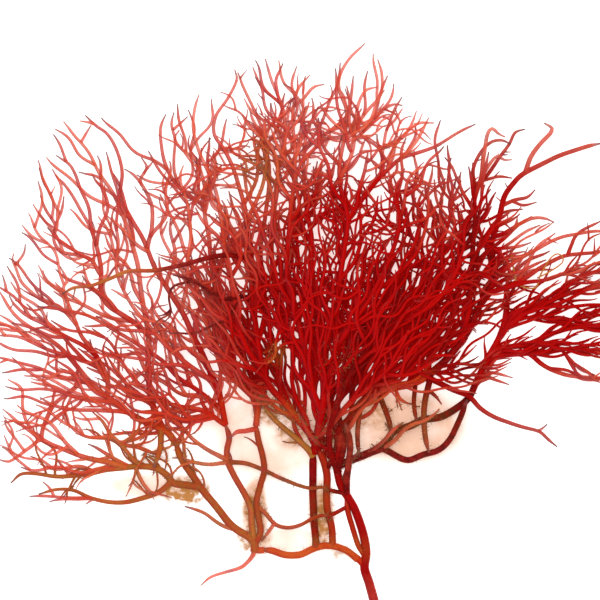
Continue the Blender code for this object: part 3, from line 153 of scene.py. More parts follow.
# Points with a third number have that height; the others find theirs in the heap.
AXES = (
    Axis("stem", RIGHT, None, 0.0, 1.6, 1.3, (
        (125.9, -5.2, 4.3), (125.2, -2.4, 4.1), (124.2, 1.2, 2.9), (122.8, 6.0, 1.6), (121.6, 10.6, 1.2),
        (122.2, 15.5, 1.05), (121.4, 20.5, 1.0), (120.1, 25.2, 1.0), (118.2, 30.0, 1.0),
        (116.0, 34.2, 1.05), (113.9, 38.0, 1.05), (112.6, 42.5, 1.1), (111.8, 47.5, 1.5))),
    Axis("runner", CENTRE, None, 0.0, 1.15, 1.2, (
        (119.3, 13.6, 1.0), (115.9, 16.1, 1.0), (111.6, 17.8, 1.0), (107.5, 18.1, 1.0), (104.0, 17.0, 1.0),
        (100.0, 15.3, 1.0), (95.0, 15.2, 1.0), (90.8, 16.3, 1.0), (86.9, 16.7, 1.0))),
    Axis("stalk_upper", CENTRE, "runner", 0.0, 1.2, 1.3, (
        (105.3, 17.6, 0.95), (105.2, 22.5, 0.95), (104.5, 28.5, 0.94), (104.2, 34.0, 0.94),
        (104.2, 39.5, 0.94), (104.3, 44.5, 1.1), (104.7, 50.0, 1.6))),
    Axis("stalk_lower", CENTRE, "runner", 0.0, 1.15, 1.3, (
        (110.9, 18.0, 0.95), (110.5, 24.0, 0.95), (109.3, 29.5, 0.95), (109.0, 36.0, 0.95),
        (108.9, 41.5, 1.0), (107.8, 46.5, 1.4), (105.6, 51.0, 1.9))),
    Axis("arm", LEFT, None, 0.0, 1.35, 1.15, (
        (85.0, 16.2, 1.1), (84.7, 18.8, 1.1), (83.0, 20.9, 1.1), (80.0, 22.8, 1.05), (76.6, 25.8, 1.05),
        (73.2, 29.8, 1.0), (70.0, 33.6, 1.0), (67.0, 37.2, 1.0), (64.4, 41.0, 1.0), (62.0, 44.8, 1.0),
        (60.0, 48.6, 1.1), (58.4, 53.0, 1.3))),
    Axis("left_stalk", LEFT, "arm", 0.0, 1.1, 1.0, (
        (84.7, 18.6, 1.1), (84.1, 24.5, 1.0), (83.6, 30.5, 1.0), (80.8, 36.3, 1.0), (78.0, 41.6, 1.0),
        (76.0, 46.0, 1.0), (75.8, 50.0, 1.0), (76.5, 54.2, 1.1), (74.9, 58.5, 1.4))),
    Axis("inner_stalk", LEFT, "arm", 0.0, 1.1, 1.0, (
        (84.7, 18.4, 1.1), (86.9, 22.8, 1.0), (86.1, 28.0, 1.0), (85.3, 33.0, 1.0), (86.8, 38.2, 1.0),
        (88.2, 43.0, 1.0), (87.5, 48.5, 1.0), (86.0, 54.0, 1.1), (85.0, 59.0, 1.4))),
    Axis("strand", RIGHT, "stem", 0.0, 0.9, 0.95, (
        (122.0, 14.2, 1.1), (119.8, 17.6, 0.9), (118.4, 21.4, 0.9), (117.1, 25.8, 0.9),
        (115.9, 30.2, 0.9), (115.0, 34.4, 1.0))),
    Axis("stub", RIGHT, "stem", 0.0, 0.9, 0.6, (
        (113.9, 38.0, 1.05), (114.9, 41.2, 1.6), (115.4, 44.4, 1.9))),
    Axis("bow", LEFT, "inner_stalk", 0.0, 0.75, 0.6, (
        (85.5, 31.4, 1.0), (88.4, 29.0, 0.9), (91.6, 25.4, 0.8), (95.5, 24.3, 0.9), (100.0, 25.2, 2.2),
        (104.2, 27.2, 3.4), (107.6, 28.2, 3.5), (110.6, 27.6, 3.4))),
    Axis("stem_side", RIGHT, "stem", 0.5, 1.0, 0.9, (
        (115.6, 34.9), (115.6, 40.0), (116.3, 45.6), (116.6, 51.0), (115.9, 55.5), (115.0, 58.6))),
    Axis("bow_strut", LEFT, "bow", 0.0, 0.6, 0.55, (
        (91.4, 25.5, 0.8), (89.4, 22.6, 0.8), (87.2, 19.8, 0.9))),
    Axis("crossing", LEFT, "left_stalk", 0.0, 0.8, 0.55, (
        (76.1, 46.0, 1.0), (82.0, 45.6, 1.0), (88.0, 43.5, 1.1), (93.0, 40.7, 1.2), (98.8, 38.5, 2.4),
        (104.0, 37.3, 3.4), (107.2, 37.8, 3.5), (110.6, 36.4, 3.4))),
    Axis("whip", LEFT, "arm", 0.0, 0.8, 0.42, (
        (84.8, 17.6, 1.1), (84.3, 14.8, 0.8), (82.3, 12.3, 0.7), (79.8, 10.6, 0.6), (75.0, 9.2, 0.5),
        (70.0, 7.7, 0.45), (66.8, 5.0, 0.45))),
    Axis("low_branch", LEFT, "arm", 0.0, 0.7, 0.55, (
        (79.4, 23.2, 1.05), (75.2, 24.4, 0.7), (71.8, 26.2, 0.6), (68.4, 28.6, 0.6), (65.0, 30.2, 0.6),
        (61.8, 31.3, 0.6))),

    Axis("right_main", RIGHT, "stem", 0.25, 1.45, 0.8, (
        (111.9, 46.0), (112.6, 51.0), (114.3, 56.4), (117.8, 62.0), (122.0, 66.8), (126.8, 69.6),
        (132.0, 71.2), (138.0, 72.6), (144.6, 76.2), (151.0, 83.0), (156.0, 90.0), (160.0, 98.0),
        (163.5, 106.0),
        (164.0, 114.0), (163.0, 121.0))),
    Axis("join", RIGHT, "right_main", 0.2, 1.15, 1.1, (
        (116.4, 60.6), (113.6, 57.6), (110.8, 55.0), (108.9, 53.6))),
    Axis("ridge", RIGHT, "right_main", 0.75, 0.85, 0.55, (
        (119.6, 64.6), (122.4, 69.2), (126.6, 72.6), (131.6, 74.8), (136.6, 76.4), (141.4, 79.4),
        (146.0, 84.6), (149.6, 91.0), (152.0, 99.0))),
    Axis("join_b", RIGHT, "stem", 0.9, 1.0, 0.6, (
        (112.6, 43.0), (110.6, 48.6), (109.6, 54.6), (110.6, 60.4), (112.8, 66.6), (115.4, 72.8),
        (119.4, 80.0), (124.6, 87.4), (128.4, 96.4))),
    Axis("join_c", RIGHT, "right_main", 1.0, 0.85, 0.5, (
        (117.4, 61.6), (117.0, 66.8), (118.0, 72.8), (121.0, 79.6), (125.4, 87.4), (130.6, 95.6),
        (134.4, 104.6))),
    Axis("dark_arm", RIGHT, "stem", 0.1, 1.2, 0.9, (
        (112.2, 44.6), (117.8, 46.8), (123.5, 49.4), (127.8, 51.2), (129.9, 54.8), (131.8, 56.6),
        (137.0, 58.0), (141.0, 60.0), (147.0, 61.2), (152.0, 64.0), (156.5, 68.0), (159.5, 74.0),
        (162.5, 80.5), (166.0, 87.0), (168.5, 94.0), (169.5, 101.0))),
    Axis("low_arc", RIGHT, "dark_arm", 0.0, 0.95, 0.85, (
        (127.6, 51.1), (131.5, 48.3), (136.0, 46.6), (141.0, 48.4), (146.0, 50.2), (150.0, 54.0),
        (152.8, 59.5), (155.6, 66.4))),
    Axis("strut_a", RIGHT, "right_main", 0.1, 0.75, 0.65, (
        (120.2, 64.6), (119.5, 60.0), (119.3, 54.0), (119.6, 48.2))),
    Axis("strut_b", RIGHT, "right_main", 0.1, 0.8, 0.75, (
        (126.6, 68.2), (128.7, 63.0), (129.8, 59.0), (130.6, 55.6))),
    Axis("strut_c", RIGHT, "right_main", 0.3, 0.55, 0.45, (
        (132.0, 70.4), (132.8, 67.5), (134.5, 66.0), (137.0, 65.3))),
    Axis("strut_d", RIGHT, "right_main", 0.1, 0.7, 0.6, (
        (138.3, 73.3), (137.8, 66.5), (138.4, 62.0), (139.4, 59.0))),
    Axis("strut_e", RIGHT, "right_main", 0.1, 0.95, 0.75, (
        (143.4, 76.2), (142.0, 68.0), (141.2, 60.5), (141.5, 55.0), (142.6, 49.6))),
    Axis("strut_f", RIGHT, "strut_e", 0.2, 0.6, 0.45, ((142.4, 70.5), (145.0, 68.2), (147.0, 65.5))),
    Axis("right_whip", RIGHT, "right_main", 0.3, 0.9, 0.45, (
        (141.5, 75.0), (147.0, 72.0), (151.5, 69.8), (156.2, 67.8), (160.0, 64.2), (165.0, 61.0),
        (170.0, 59.0), (175.0, 57.4), (179.7, 56.0), (182.5, 53.8), (185.6, 51.4))),
    Axis("whip_fork", RIGHT, "right_whip", 0.3, 0.45, 0.42, ((179.7, 56.0), (182.3, 58.5))),
    Axis("bundle_a", RIGHT, "dark_arm", 0.45, 1.0, 0.45, (
        (166.5, 88.0), (171.0, 92.5), (177.0, 97.0), (185.0, 100.5), (193.0, 103.0), (202.0, 104.5),
        (211.0, 106.0))),
    Axis("bundle_b", RIGHT, "dark_arm", 0.3, 0.9, 0.45, (
        (164.4, 84.2), (170.0, 84.5), (176.0, 85.2), (183.0, 88.5), (191.0, 90.8), (200.0, 91.3),
        (210.0, 90.0))),
    Axis("bundle_c", RIGHT, "dark_arm", 0.15, 0.9, 0.45, (
        (163.0, 81.6), (168.0, 81.8), (175.0, 82.2), (183.0, 82.6), (191.0, 84.0), (199.0, 82.6),
        (208.0, 81.0))),
    Axis("bundle_d", RIGHT, "bundle_c", 0.2, 0.75, 0.45, (
        (176.5, 82.3), (181.0, 78.5), (185.0, 76.2), (190.0, 74.7), (198.0, 74.0), (207.0, 74.6))),
    Axis("bundle_e", RIGHT, "bundle_c", 0.6, 0.5, 0.42, (
        (187.0, 83.3), (190.0, 80.0), (193.5, 77.0), (198.0, 75.3))),
    Axis("bundle_f", RIGHT, "right_main", 0.6, 0.8, 0.45, (
        (162.0, 102.0), (168.0, 104.0), (174.0, 107.0), (181.0, 111.2), (187.0, 114.3), (193.0, 115.4),
        (200.0, 116.3), (208.0, 118.0))),
    Axis("bundle_g", RIGHT, "bundle_f", 0.7, 0.6, 0.42, (
        (188.5, 114.9), (190.0, 118.0), (191.5, 121.2), (194.5, 123.6), (200.5, 126.4))),
    Axis("bundle_h", RIGHT, "right_main", 0.8, 0.7, 0.42, (
        (162.8, 104.5), (167.0, 109.0), (173.0, 113.8), (180.0, 117.8), (187.0, 120.8), (193.0, 122.0),
        (200.0, 123.0), (207.0, 122.4))),
    Axis("bundle_i", RIGHT, "bundle_a", 0.8, 0.6, 0.42, (
        (180.0, 98.6), (188.0, 97.6), (197.0, 98.4), (207.0, 98.6))),
    Axis("bundle_j", RIGHT, "bundle_a", 0.1, 0.6, 0.42, (
        (173.0, 94.2), (182.0, 94.2), (190.0, 93.4), (200.0, 95.0), (209.0, 94.4))),
    Axis("bundle_k", RIGHT, "bundle_a", 0.6, 0.6, 0.42, (
        (184.0, 100.2), (192.0, 106.6), (200.0, 110.2), (209.0, 112.0))),
    Axis("upright_a", RIGHT, "right_main", 0.5, 1.0, 0.42, (
        (153.2, 86.4), (155.6, 96.0), (157.0, 108.0), (157.5, 120.0), (158.2, 130.0), (158.0, 138.0),
        (157.6, 143.5), (160.0, 149.3), (163.5, 152.5), (167.0, 153.0), (170.0, 151.8))),
    Axis("upright_b", RIGHT, "upright_a", 0.7, 0.75, 0.5, (
        (158.2, 134.0), (160.3, 141.0), (161.0, 148.0), (162.0, 154.5), (163.8, 157.0), (166.0, 155.2),
        (168.0, 154.2))),
    Axis("upright_c", RIGHT, "upright_a", 0.3, 0.65, 0.42, (
        (158.1, 136.5), (162.2, 141.5), (166.3, 147.0), (169.5, 151.5), (171.5, 155.8), (174.8, 157.0))),
    Axis("upright_d", RIGHT, "upright_b", 0.9, 0.55, 0.42, (
        (160.3, 141.0), (163.0, 145.0), (165.5, 147.5), (167.8, 146.4), (170.3, 146.6))),
    Axis("upright_e", RIGHT, "upright_a", 0.1, 0.5, 0.42, (
        (158.0, 138.5), (163.0, 140.3), (166.5, 141.2), (170.5, 140.7))),
    Axis("antler_a", RIGHT, "right_main", 0.6, 0.9, 0.62, (
        (163.4, 118.0), (166.4, 128.0), (168.0, 135.0), (171.8, 139.8), (175.2, 142.4), (181.8, 145.8),
        (188.5, 149.0), (194.5, 150.9), (200.0, 152.0))),
    Axis("antler_b", RIGHT, "antler_a", 0.7, 0.75, 0.6, (
        (174.9, 142.2), (176.3, 147.0), (180.0, 152.0), (183.3, 155.4), (183.9, 157.4), (181.6, 158.9))),
    Axis("antler_c", RIGHT, "antler_a", 0.4, 0.62, 0.45, (
        (167.0, 131.0), (171.0, 133.2), (175.5, 134.2), (178.2, 136.6))),
    Axis("antler_d", RIGHT, "antler_c", 0.2, 0.45, 0.42, ((170.5, 133.1), (174.4, 131.6), (178.6, 132.6))),
    Axis("antler_e", RIGHT, "antler_a", 0.9, 0.7, 0.45, (
        (164.2, 121.0), (168.4, 122.5), (172.5, 125.0), (177.0, 127.0), (181.0, 127.0), (184.3, 125.8))),
    Axis("antler_f", RIGHT, "right_main", 0.2, 0.5, 0.42, (
        (163.9, 115.0), (169.0, 118.2), (174.5, 122.3), (179.8, 125.0))),
    Axis("spur_a", RIGHT, "dark_arm", 0.3, 0.5, 0.42, ((160.4, 76.0), (165.5, 75.5), (170.7, 74.2))),
    Axis("spur_b", RIGHT, "dark_arm", 0.0, 0.5, 0.42, ((160.0, 75.0), (165.4, 73.2), (169.5, 71.8))),
    Axis("inner_a", RIGHT, "right_main", 0.2, 0.9, 0.45, (
        (142.0, 75.5), (143.8, 83.0), (146.5, 92.0), (150.0, 102.0), (152.5, 112.0), (153.5, 122.0),
        (152.5, 132.0))),
    Axis("inner_b", RIGHT, "right_main", 0.1, 0.85, 0.42, (
        (136.5, 72.6), (138.8, 82.0), (142.0, 92.0), (145.5, 102.0), (147.5, 112.0), (147.0, 122.0),
        (147.0, 132.0), (148.2, 137.8), (146.8, 142.5), (146.0, 146.0))),

    Axis("crown_left", CENTRE, "stalk_lower", 0.6, 1.1, 0.42, (
        (105.8, 50.4), (102.5, 56.5), (98.5, 61.5), (94.5, 66.0), (90.5, 70.5), (88.0, 76.0), (86.5, 84.0),
        (84.8, 94.0), (84.0, 104.0), (84.0, 114.0), (82.6, 124.0), (81.0, 134.0), (78.0, 143.0),
        (75.0, 149.5), (71.5, 155.0), (72.2, 161.0), (75.8, 167.0), (78.8, 173.0), (78.2, 176.6))),
    Axis("crown_mid", CENTRE, "stalk_upper", 0.7, 1.2, 0.42, (
        (104.6, 49.2), (106.0, 56.0), (107.3, 64.0), (107.8, 72.0), (107.2, 82.0), (106.5, 92.0),
        (105.0, 102.0), (104.0, 112.0), (103.5, 122.0), (102.0, 132.0), (101.5, 140.0), (101.0, 148.0),
        (102.0, 155.0), (101.2, 160.5), (102.2, 164.4))),
    Axis("crown_a", CENTRE, "crown_mid", 0.85, 1.0, 0.42, (
        (107.2, 63.0), (103.7, 71.0), (102.3, 80.0), (100.0, 90.0), (97.2, 100.0), (95.7, 110.0),
        (96.0, 120.0), (97.0, 130.0), (98.3, 140.0), (98.1, 150.0), (97.8, 158.0), (98.0, 165.0),
        (99.6, 170.5), (103.0, 174.8))),
    Axis("crown_b", CENTRE, "crown_mid", 0.75, 1.0, 0.42, (
        (107.8, 70.0), (110.5, 78.0), (112.0, 88.0), (112.3, 98.0), (113.2, 108.0), (115.0, 118.0),
        (115.6, 128.0), (113.4, 137.0), (113.5, 147.0), (115.0, 156.0), (115.3, 163.0), (113.2, 170.0),
        (113.4, 175.0), (116.3, 180.2), (121.4, 185.4))),
    Axis("crown_c", CENTRE, "crown_a", 0.6, 0.9, 0.42, (
        (102.6, 78.0), (97.0, 85.0), (93.7, 94.0), (91.6, 104.0), (90.6, 114.0), (91.0, 124.0),
        (92.0, 134.0), (93.0, 144.0), (95.0, 153.0), (94.6, 161.0), (92.6, 168.0), (90.3, 174.0),
        (88.6, 180.2))),
    Axis("crown_d", CENTRE, "crown_c", 0.9, 0.55, 0.42, (
        (94.0, 163.5), (92.5, 168.8), (91.9, 173.5), (94.3, 178.6))),
    Axis("crown_e", CENTRE, "crown_a", 0.5, 0.55, 0.42, (
        (98.0, 164.2), (101.3, 167.3), (104.5, 170.6), (108.0, 171.6))),
    Axis("crown_f", CENTRE, "crown_mid", 0.5, 0.6, 0.42, (
        (101.2, 149.5), (106.0, 153.5), (111.0, 157.0), (115.6, 161.8), (117.2, 168.5), (117.8, 174.5))),
    Axis("crown_g", CENTRE, "crown_b", 0.9, 0.65, 0.42, (
        (113.4, 140.0), (117.3, 149.5), (118.4, 157.5), (119.4, 164.5), (121.6, 169.6), (125.7, 171.0))),
    Axis("crown_h", CENTRE, "crown_g", 0.5, 0.55, 0.42, (
        (118.4, 157.0), (122.5, 163.0), (126.8, 168.5), (127.1, 175.0), (126.0, 180.0))),
    Axis("crown_i", CENTRE, "crown_g", 0.3, 0.5, 0.42, (
        (118.0, 153.0), (124.0, 158.5), (127.5, 163.0), (131.0, 165.2), (134.0, 165.0))),
    Axis("crown_j", CENTRE, "crown_b", 0.7, 0.8, 0.42, (
        (115.8, 126.0), (120.8, 134.0), (127.0, 141.0), (133.0, 146.5), (139.0, 149.0), (146.0, 151.6),
        (153.3, 156.0), (158.3, 158.3))),
    Axis("crown_k", CENTRE, "crown_j", 0.8, 0.55, 0.42, (
        (129.0, 143.0), (131.4, 151.5), (135.5, 155.6), (139.5, 158.6), (144.5, 158.8))),
    Axis("crown_l", CENTRE, "crown_j", 0.4, 0.5, 0.42, (
        (126.5, 140.6), (127.8, 150.0), (128.8, 157.0), (131.5, 160.0), (134.0, 163.6))),
    Axis("crown_m", CENTRE, "crown_j", 0.5, 0.5, 0.42, (
        (134.0, 147.0), (136.9, 151.5), (138.3, 155.0), (138.1, 158.8))),
    Axis("crown_n", CENTRE, "crown_b", 0.9, 0.9, 0.42, (
        (111.6, 84.0), (117.0, 92.0), (122.8, 100.0), (128.0, 110.0), (132.0, 120.0), (134.0, 130.0),
        (135.5, 139.0), (138.8, 143.0), (142.5, 144.6))),
    Axis("crown_o", CENTRE, "crown_mid", 0.6, 0.95, 0.42, (
        (107.8, 73.0), (113.5, 80.0), (121.0, 86.0), (129.0, 92.0), (136.5, 99.0), (142.0, 107.0),
        (146.2, 116.0), (149.6, 126.0), (151.0, 133.5), (153.4, 139.6))),
    Axis("crown_p", CENTRE, "crown_n", 0.8, 0.7, 0.42, (
        (124.0, 102.3), (131.0, 107.5), (137.5, 114.0), (141.0, 122.0), (142.5, 130.0), (142.8, 136.0))),
    Axis("crown_q", CENTRE, "crown_o", 0.85, 0.7, 0.42, (
        (125.0, 89.0), (134.0, 92.5), (143.0, 98.0), (149.0, 105.0), (153.4, 113.0))),
    Axis("crown_r", CENTRE, "crown_left", 0.8, 0.9, 0.42, (
        (88.0, 76.0), (82.3, 84.0), (79.2, 94.0), (77.5, 104.0), (75.6, 114.0), (74.2, 124.0),
        (72.5, 134.0), (70.0, 142.0), (66.5, 149.0), (64.4, 157.0), (64.9, 163.0), (66.6, 168.2))),
    Axis("crown_s", CENTRE, "crown_left", 0.4, 0.8, 0.42, (
        (86.2, 86.0), (88.3, 95.0), (87.7, 106.0), (87.0, 116.0), (88.0, 126.0), (89.6, 136.0),
        (89.8, 145.0), (88.0, 152.0), (87.0, 158.0), (84.0, 165.0), (81.2, 171.0), (79.2, 175.6))),
    Axis("old_cross", CENTRE, "crown_left", 0.95, 0.8, 0.45, (
        (84.0, 113.6), (76.0, 115.0), (68.0, 113.4), (60.0, 111.2), (52.0, 110.0), (43.0, 109.4),
        (37.0, 107.0), (31.0, 104.8), (25.0, 104.3), (21.0, 102.0))),
    Axis("thin_cross", CENTRE, "crown_left", 0.9, 0.55, 0.42, (
        (84.1, 101.5), (76.0, 100.4), (70.5, 102.8), (65.0, 106.0), (58.0, 108.2))),
    Axis("silted", CENTRE, "stalk_upper", 0.3, 0.95, 0.6, (
        (104.6, 48.6), (99.5, 53.2), (94.0, 58.0), (89.4, 63.0), (86.4, 68.6))),
    Axis("crown_t", CENTRE, "crown_mid", 0.3, 0.9, 0.42, (
        (107.5, 66.0), (112.5, 73.0), (119.0, 79.0), (127.0, 85.0), (134.0, 92.0), (139.0, 101.0),
        (141.0, 111.0), (140.0, 121.0))),
    Axis("crown_w", CENTRE, "crown_mid", 0.6, 1.0, 0.5, (
        (106.2, 56.6), (108.9, 61.0), (112.0, 65.6), (115.6, 70.6), (119.4, 76.4), (124.0, 83.0),
        (131.0, 90.4),
        (136.4, 98.4))),
    Axis("crown_x", CENTRE, "crown_w", 0.35, 0.9, 0.5, (
        (109.4, 62.0), (110.6, 68.0), (113.6, 74.0), (116.8, 80.0), (119.0, 88.0), (121.4, 97.0),
        (124.0, 106.0))),
    Axis("crown_y", CENTRE, "crown_left", 0.35, 0.85, 0.45, (
        (103.2, 55.4), (101.6, 61.0), (98.6, 67.4), (97.4, 74.0), (98.0, 82.0), (96.4, 91.0))),
    Axis("crown_z", CENTRE, "crown_mid", 0.8, 0.8, 0.45, (
        (106.6, 58.6), (104.6, 65.0), (104.4, 72.0), (105.2, 80.0), (103.0, 89.0), (102.0, 98.0))),
    Axis("join_d", CENTRE, "crown_mid", 0.75, 0.85, 0.55, (
        (105.5, 53.6), (109.6, 57.6), (113.6, 62.6), (118.4, 68.4), (123.6, 73.8), (130.0, 78.4),
        (137.0, 84.0),
        (142.4, 91.6))),
    Axis("join_e", CENTRE, "crown_mid", 0.6, 0.9, 0.5, (
        (105.3, 52.4), (101.6, 58.4), (97.6, 63.6), (94.6, 70.0), (92.4, 78.0), (90.0, 87.0))),
    Axis("crown_u", CENTRE, "crown_left", 0.5, 0.7, 0.42, (
        (95.0, 65.4), (92.5, 74.0), (92.0, 84.0), (89.0, 94.0), (86.0, 104.0))),
    Axis("crown_v", CENTRE, "crown_a", 0.4, 0.7, 0.42, (
        (99.5, 92.0), (101.5, 102.0), (100.0, 112.0), (99.0, 122.0), (100.5, 131.0))),

    Axis("left_upper", LEFT, "left_stalk", 0.3, 1.0, 0.42, (
        (75.0, 58.2), (74.5, 63.0), (73.2, 68.5), (70.7, 74.5), (68.0, 81.0), (64.8, 88.0), (61.2, 95.0),
        (57.0, 102.0), (53.0, 108.5), (50.0, 115.0), (47.0, 121.5), (43.2, 128.0), (40.4, 134.5),
        (40.7, 142.0), (39.2, 149.0), (36.0, 155.0), (32.2, 158.2), (28.6, 161.5))),
    Axis("left_inner", LEFT, "inner_stalk", 0.2, 1.0, 0.42, (
        (85.1, 58.4), (86.0, 64.0), (85.6, 70.0), (82.6, 78.0), (79.6, 86.0), (76.0, 94.0), (72.5, 102.0),
        (70.6, 111.0), (69.6, 120.0), (68.4, 129.0), (68.4, 137.0), (65.6, 145.5), (60.4, 150.5),
        (58.5, 154.0), (59.8, 156.4))),
    Axis("left_main", LEFT, "arm", 0.3, 1.1, 0.45, (
        (58.7, 52.4), (55.5, 56.3), (50.0, 58.8), (44.3, 61.8), (39.0, 65.3), (34.0, 69.2), (29.0, 74.0),
        (25.0, 79.0), (20.0, 84.0), (14.0, 88.5), (8.0, 92.5), (3.5, 97.0), (-0.5, 103.0))),
    Axis("silt_arm", LEFT, "arm", 0.1, 1.15, 0.42, (
        (66.6, 37.6), (61.5, 38.3), (58.0, 39.0), (55.5, 42.0), (51.5, 44.2), (45.5, 44.6), (40.0, 43.8),
        (34.0, 43.2), (27.0, 41.8), (19.0, 41.2), (12.0, 41.9), (7.0, 42.0), (3.6, 39.2))),
    Axis("low_left", LEFT, "silt_arm", 0.0, 0.85, 0.42, (
        (57.3, 39.6), (54.2, 36.8), (51.5, 35.2), (47.5, 33.8), (42.0, 32.8), (36.0, 32.8), (30.5, 34.0),
        (24.5, 36.4), (18.3, 36.8), (13.0, 35.5))),
    Axis("low_tip", LEFT, "low_left", 0.0, 0.5, 0.42, (
        (31.0, 33.9), (25.0, 34.2), (18.0, 34.5), (10.0, 34.5))),
    Axis("low_strut", LEFT, "silt_arm", 0.1, 0.6, 0.55, (
        (44.8, 44.6), (47.6, 39.4), (50.2, 36.4), (52.0, 35.4))),
    Axis("dark_fork", LEFT, "silt_arm", 0.4, 0.75, 0.42, (
        (47.0, 44.7), (43.2, 48.4), (40.0, 52.2), (36.8, 55.4), (34.2, 59.5), (31.2, 62.6))),
    Axis("link_a", LEFT, "left_main", 0.1, 0.9, 0.8, (
        (54.0, 57.2), (53.7, 52.0), (52.7, 48.0), (51.4, 44.6))),
    Axis("link_b", LEFT, "dark_fork", 0.2, 0.6, 0.55, (
        (40.4, 51.8), (45.0, 51.2), (49.0, 49.8), (52.6, 48.2))),
    Axis("link_c", LEFT, "dark_fork", 0.5, 0.5, 0.45, ((39.6, 52.6), (45.5, 53.6), (50.5, 56.2))),
    Axis("side_a", LEFT, "left_main", 0.5, 0.7, 0.42, (
        (43.0, 62.6), (36.0, 63.2), (29.0, 63.5), (23.0, 63.8), (18.0, 64.8), (13.5, 67.5))),
    Axis("side_b", LEFT, "left_main", 0.7, 0.65, 0.42, (
        (38.0, 66.0), (31.0, 66.4), (24.5, 68.0), (18.5, 70.8), (12.5, 74.2), (8.0, 77.4), (4.2, 80.8))),
    Axis("star", LEFT, "silt_arm", 0.5, 0.9, 0.42, (
        (42.0, 44.0), (36.8, 45.9), (30.5, 46.9), (24.0, 49.2), (18.0, 51.7), (13.7, 53.6), (10.2, 50.9),
        (6.3, 48.0), (3.0, 46.2), (-0.5, 46.9))),
    Axis("star_up", LEFT, "star", 0.7, 0.75, 0.5, (
        (13.8, 53.5), (14.4, 57.0), (16.2, 61.5), (18.6, 65.5), (22.8, 69.0), (27.5, 72.6))),
    Axis("star_tip", LEFT, "star", 0.2, 0.55, 0.42, (
        (13.7, 53.6), (10.8, 56.6), (8.6, 60.5), (7.6, 65.0), (7.0, 70.4), (2.7, 73.5))),
    Axis("far_tip", LEFT, "star", 0.4, 0.45, 0.42, ((8.2, 49.4), (5.3, 53.8), (2.2, 57.6), (1.5, 59.8))),
    Axis("fork_b", LEFT, "dark_fork", 0.7, 0.55, 0.42, (
        (37.6, 54.6), (31.0, 54.2), (26.0, 56.0), (22.6, 59.4), (20.6, 62.4))),
    Axis("left_rise", LEFT, "left_main", 0.15, 1.0, 0.42, (
        (54.8, 56.6), (51.8, 63.0), (50.0, 70.0), (49.4, 78.0), (49.6, 86.0), (49.2, 92.5), (47.6, 99.0),
        (46.6, 106.0), (45.6, 113.0), (43.6, 121.0), (40.6, 129.0), (37.6, 135.5), (33.5, 142.0),
        (30.3, 148.0), (27.8, 151.5), (24.5, 155.0), (21.2, 159.3))),
    Axis("rise_b", LEFT, "left_rise", 0.5, 0.85, 0.42, (
        (49.5, 88.5), (45.0, 92.3), (40.2, 95.6), (35.8, 99.0), (33.6, 104.0), (33.8, 110.0), (32.5, 117.0),
        (30.8, 124.0), (29.5, 131.0), (26.8, 137.0), (25.0, 142.0), (23.0, 145.5), (19.0, 148.2))),
    Axis("sweep_a", LEFT, "left_main", 0.6, 0.8, 0.42, (
        (36.0, 67.5), (36.0, 73.0), (34.4, 78.0), (31.5, 83.0), (27.5, 87.5), (25.2, 93.0), (23.0, 98.5),
        (21.5, 104.0), (22.6, 106.4), (20.2, 111.0))),
    Axis("sweep_b", LEFT, "sweep_a", 0.8, 0.7, 0.42, (
        (32.6, 81.5), (28.0, 84.8), (22.0, 88.2), (15.0, 91.8), (9.0, 94.8), (5.0, 98.4), (3.4, 101.4))),
    Axis("sweep_c", LEFT, "sweep_a", 0.2, 0.7, 0.42, (
        (35.0, 76.6), (28.0, 79.8), (20.0, 82.2), (13.0, 85.0), (6.0, 87.8), (-1.0, 88.0))),
    Axis("sweep_d", LEFT, "left_main", 0.1, 0.65, 0.42, (
        (31.0, 72.0), (25.0, 73.2), (18.0, 75.4), (12.0, 77.7), (5.0, 79.4), (-1.5, 81.0))),
    Axis("sweep_e", LEFT, "sweep_a", 0.5, 0.6, 0.42, (
        (25.6, 92.2), (20.0, 97.6), (14.5, 99.8), (10.0, 103.4), (7.0, 106.4), (5.3, 110.5), (4.2, 113.5),
        (4.6, 115.4))),
    Axis("upper_a", LEFT, "rise_b", 0.7, 0.6, 0.42, (
        (33.8, 108.0), (30.5, 113.2), (26.0, 115.0), (20.8, 116.2), (18.2, 119.6), (18.7, 124.8),
        (20.4, 129.4), (21.4, 134.4))),
    Axis("upper_b", LEFT, "upper_a", 0.4, 0.5, 0.42, ((18.7, 124.6), (15.7, 129.8), (13.6, 134.8))),
    Axis("upper_c", LEFT, "rise_b", 0.2, 0.55, 0.42, (
        (31.2, 122.0), (27.2, 129.5), (24.6, 134.2), (21.6, 138.6), (18.4, 141.6))),
    Axis("upper_d", LEFT, "upper_a", 0.6, 0.5, 0.42, (
        (20.2, 128.8), (18.2, 132.2), (16.2, 136.5), (14.2, 140.5), (13.0, 143.8))),
    Axis("upper_e", LEFT, "left_upper", 0.5, 0.7, 0.42, (
        (49.0, 117.0), (50.6, 124.0), (50.7, 131.0), (48.6, 136.5), (47.1, 139.8), (49.0, 144.0),
        (47.2, 147.2))),
    Axis("upper_f", LEFT, "upper_e", 0.5, 0.42, 0.42, ((48.6, 142.8), (50.0, 144.6), (51.6, 146.6))),
    Axis("upper_g", LEFT, "left_inner", 0.3, 0.7, 0.42, (
        (68.3, 131.0), (62.6, 135.5), (57.6, 139.8), (54.9, 146.0), (53.7, 153.0), (53.8, 157.8),
        (55.3, 161.8))),
    Axis("upper_h", LEFT, "upper_g", 0.6, 0.5, 0.42, (
        (60.0, 137.6), (58.4, 142.0), (58.3, 147.5), (58.4, 153.0), (57.2, 158.3), (57.9, 162.4))),
    Axis("upper_i", LEFT, "left_inner", 0.6, 0.7, 0.42, (
        (72.6, 101.6), (66.5, 107.0), (62.6, 114.5), (60.0, 122.0), (56.5, 129.0), (53.4, 135.0))),
    Axis("upper_j", LEFT, "left_upper", 0.7, 0.65, 0.42, (
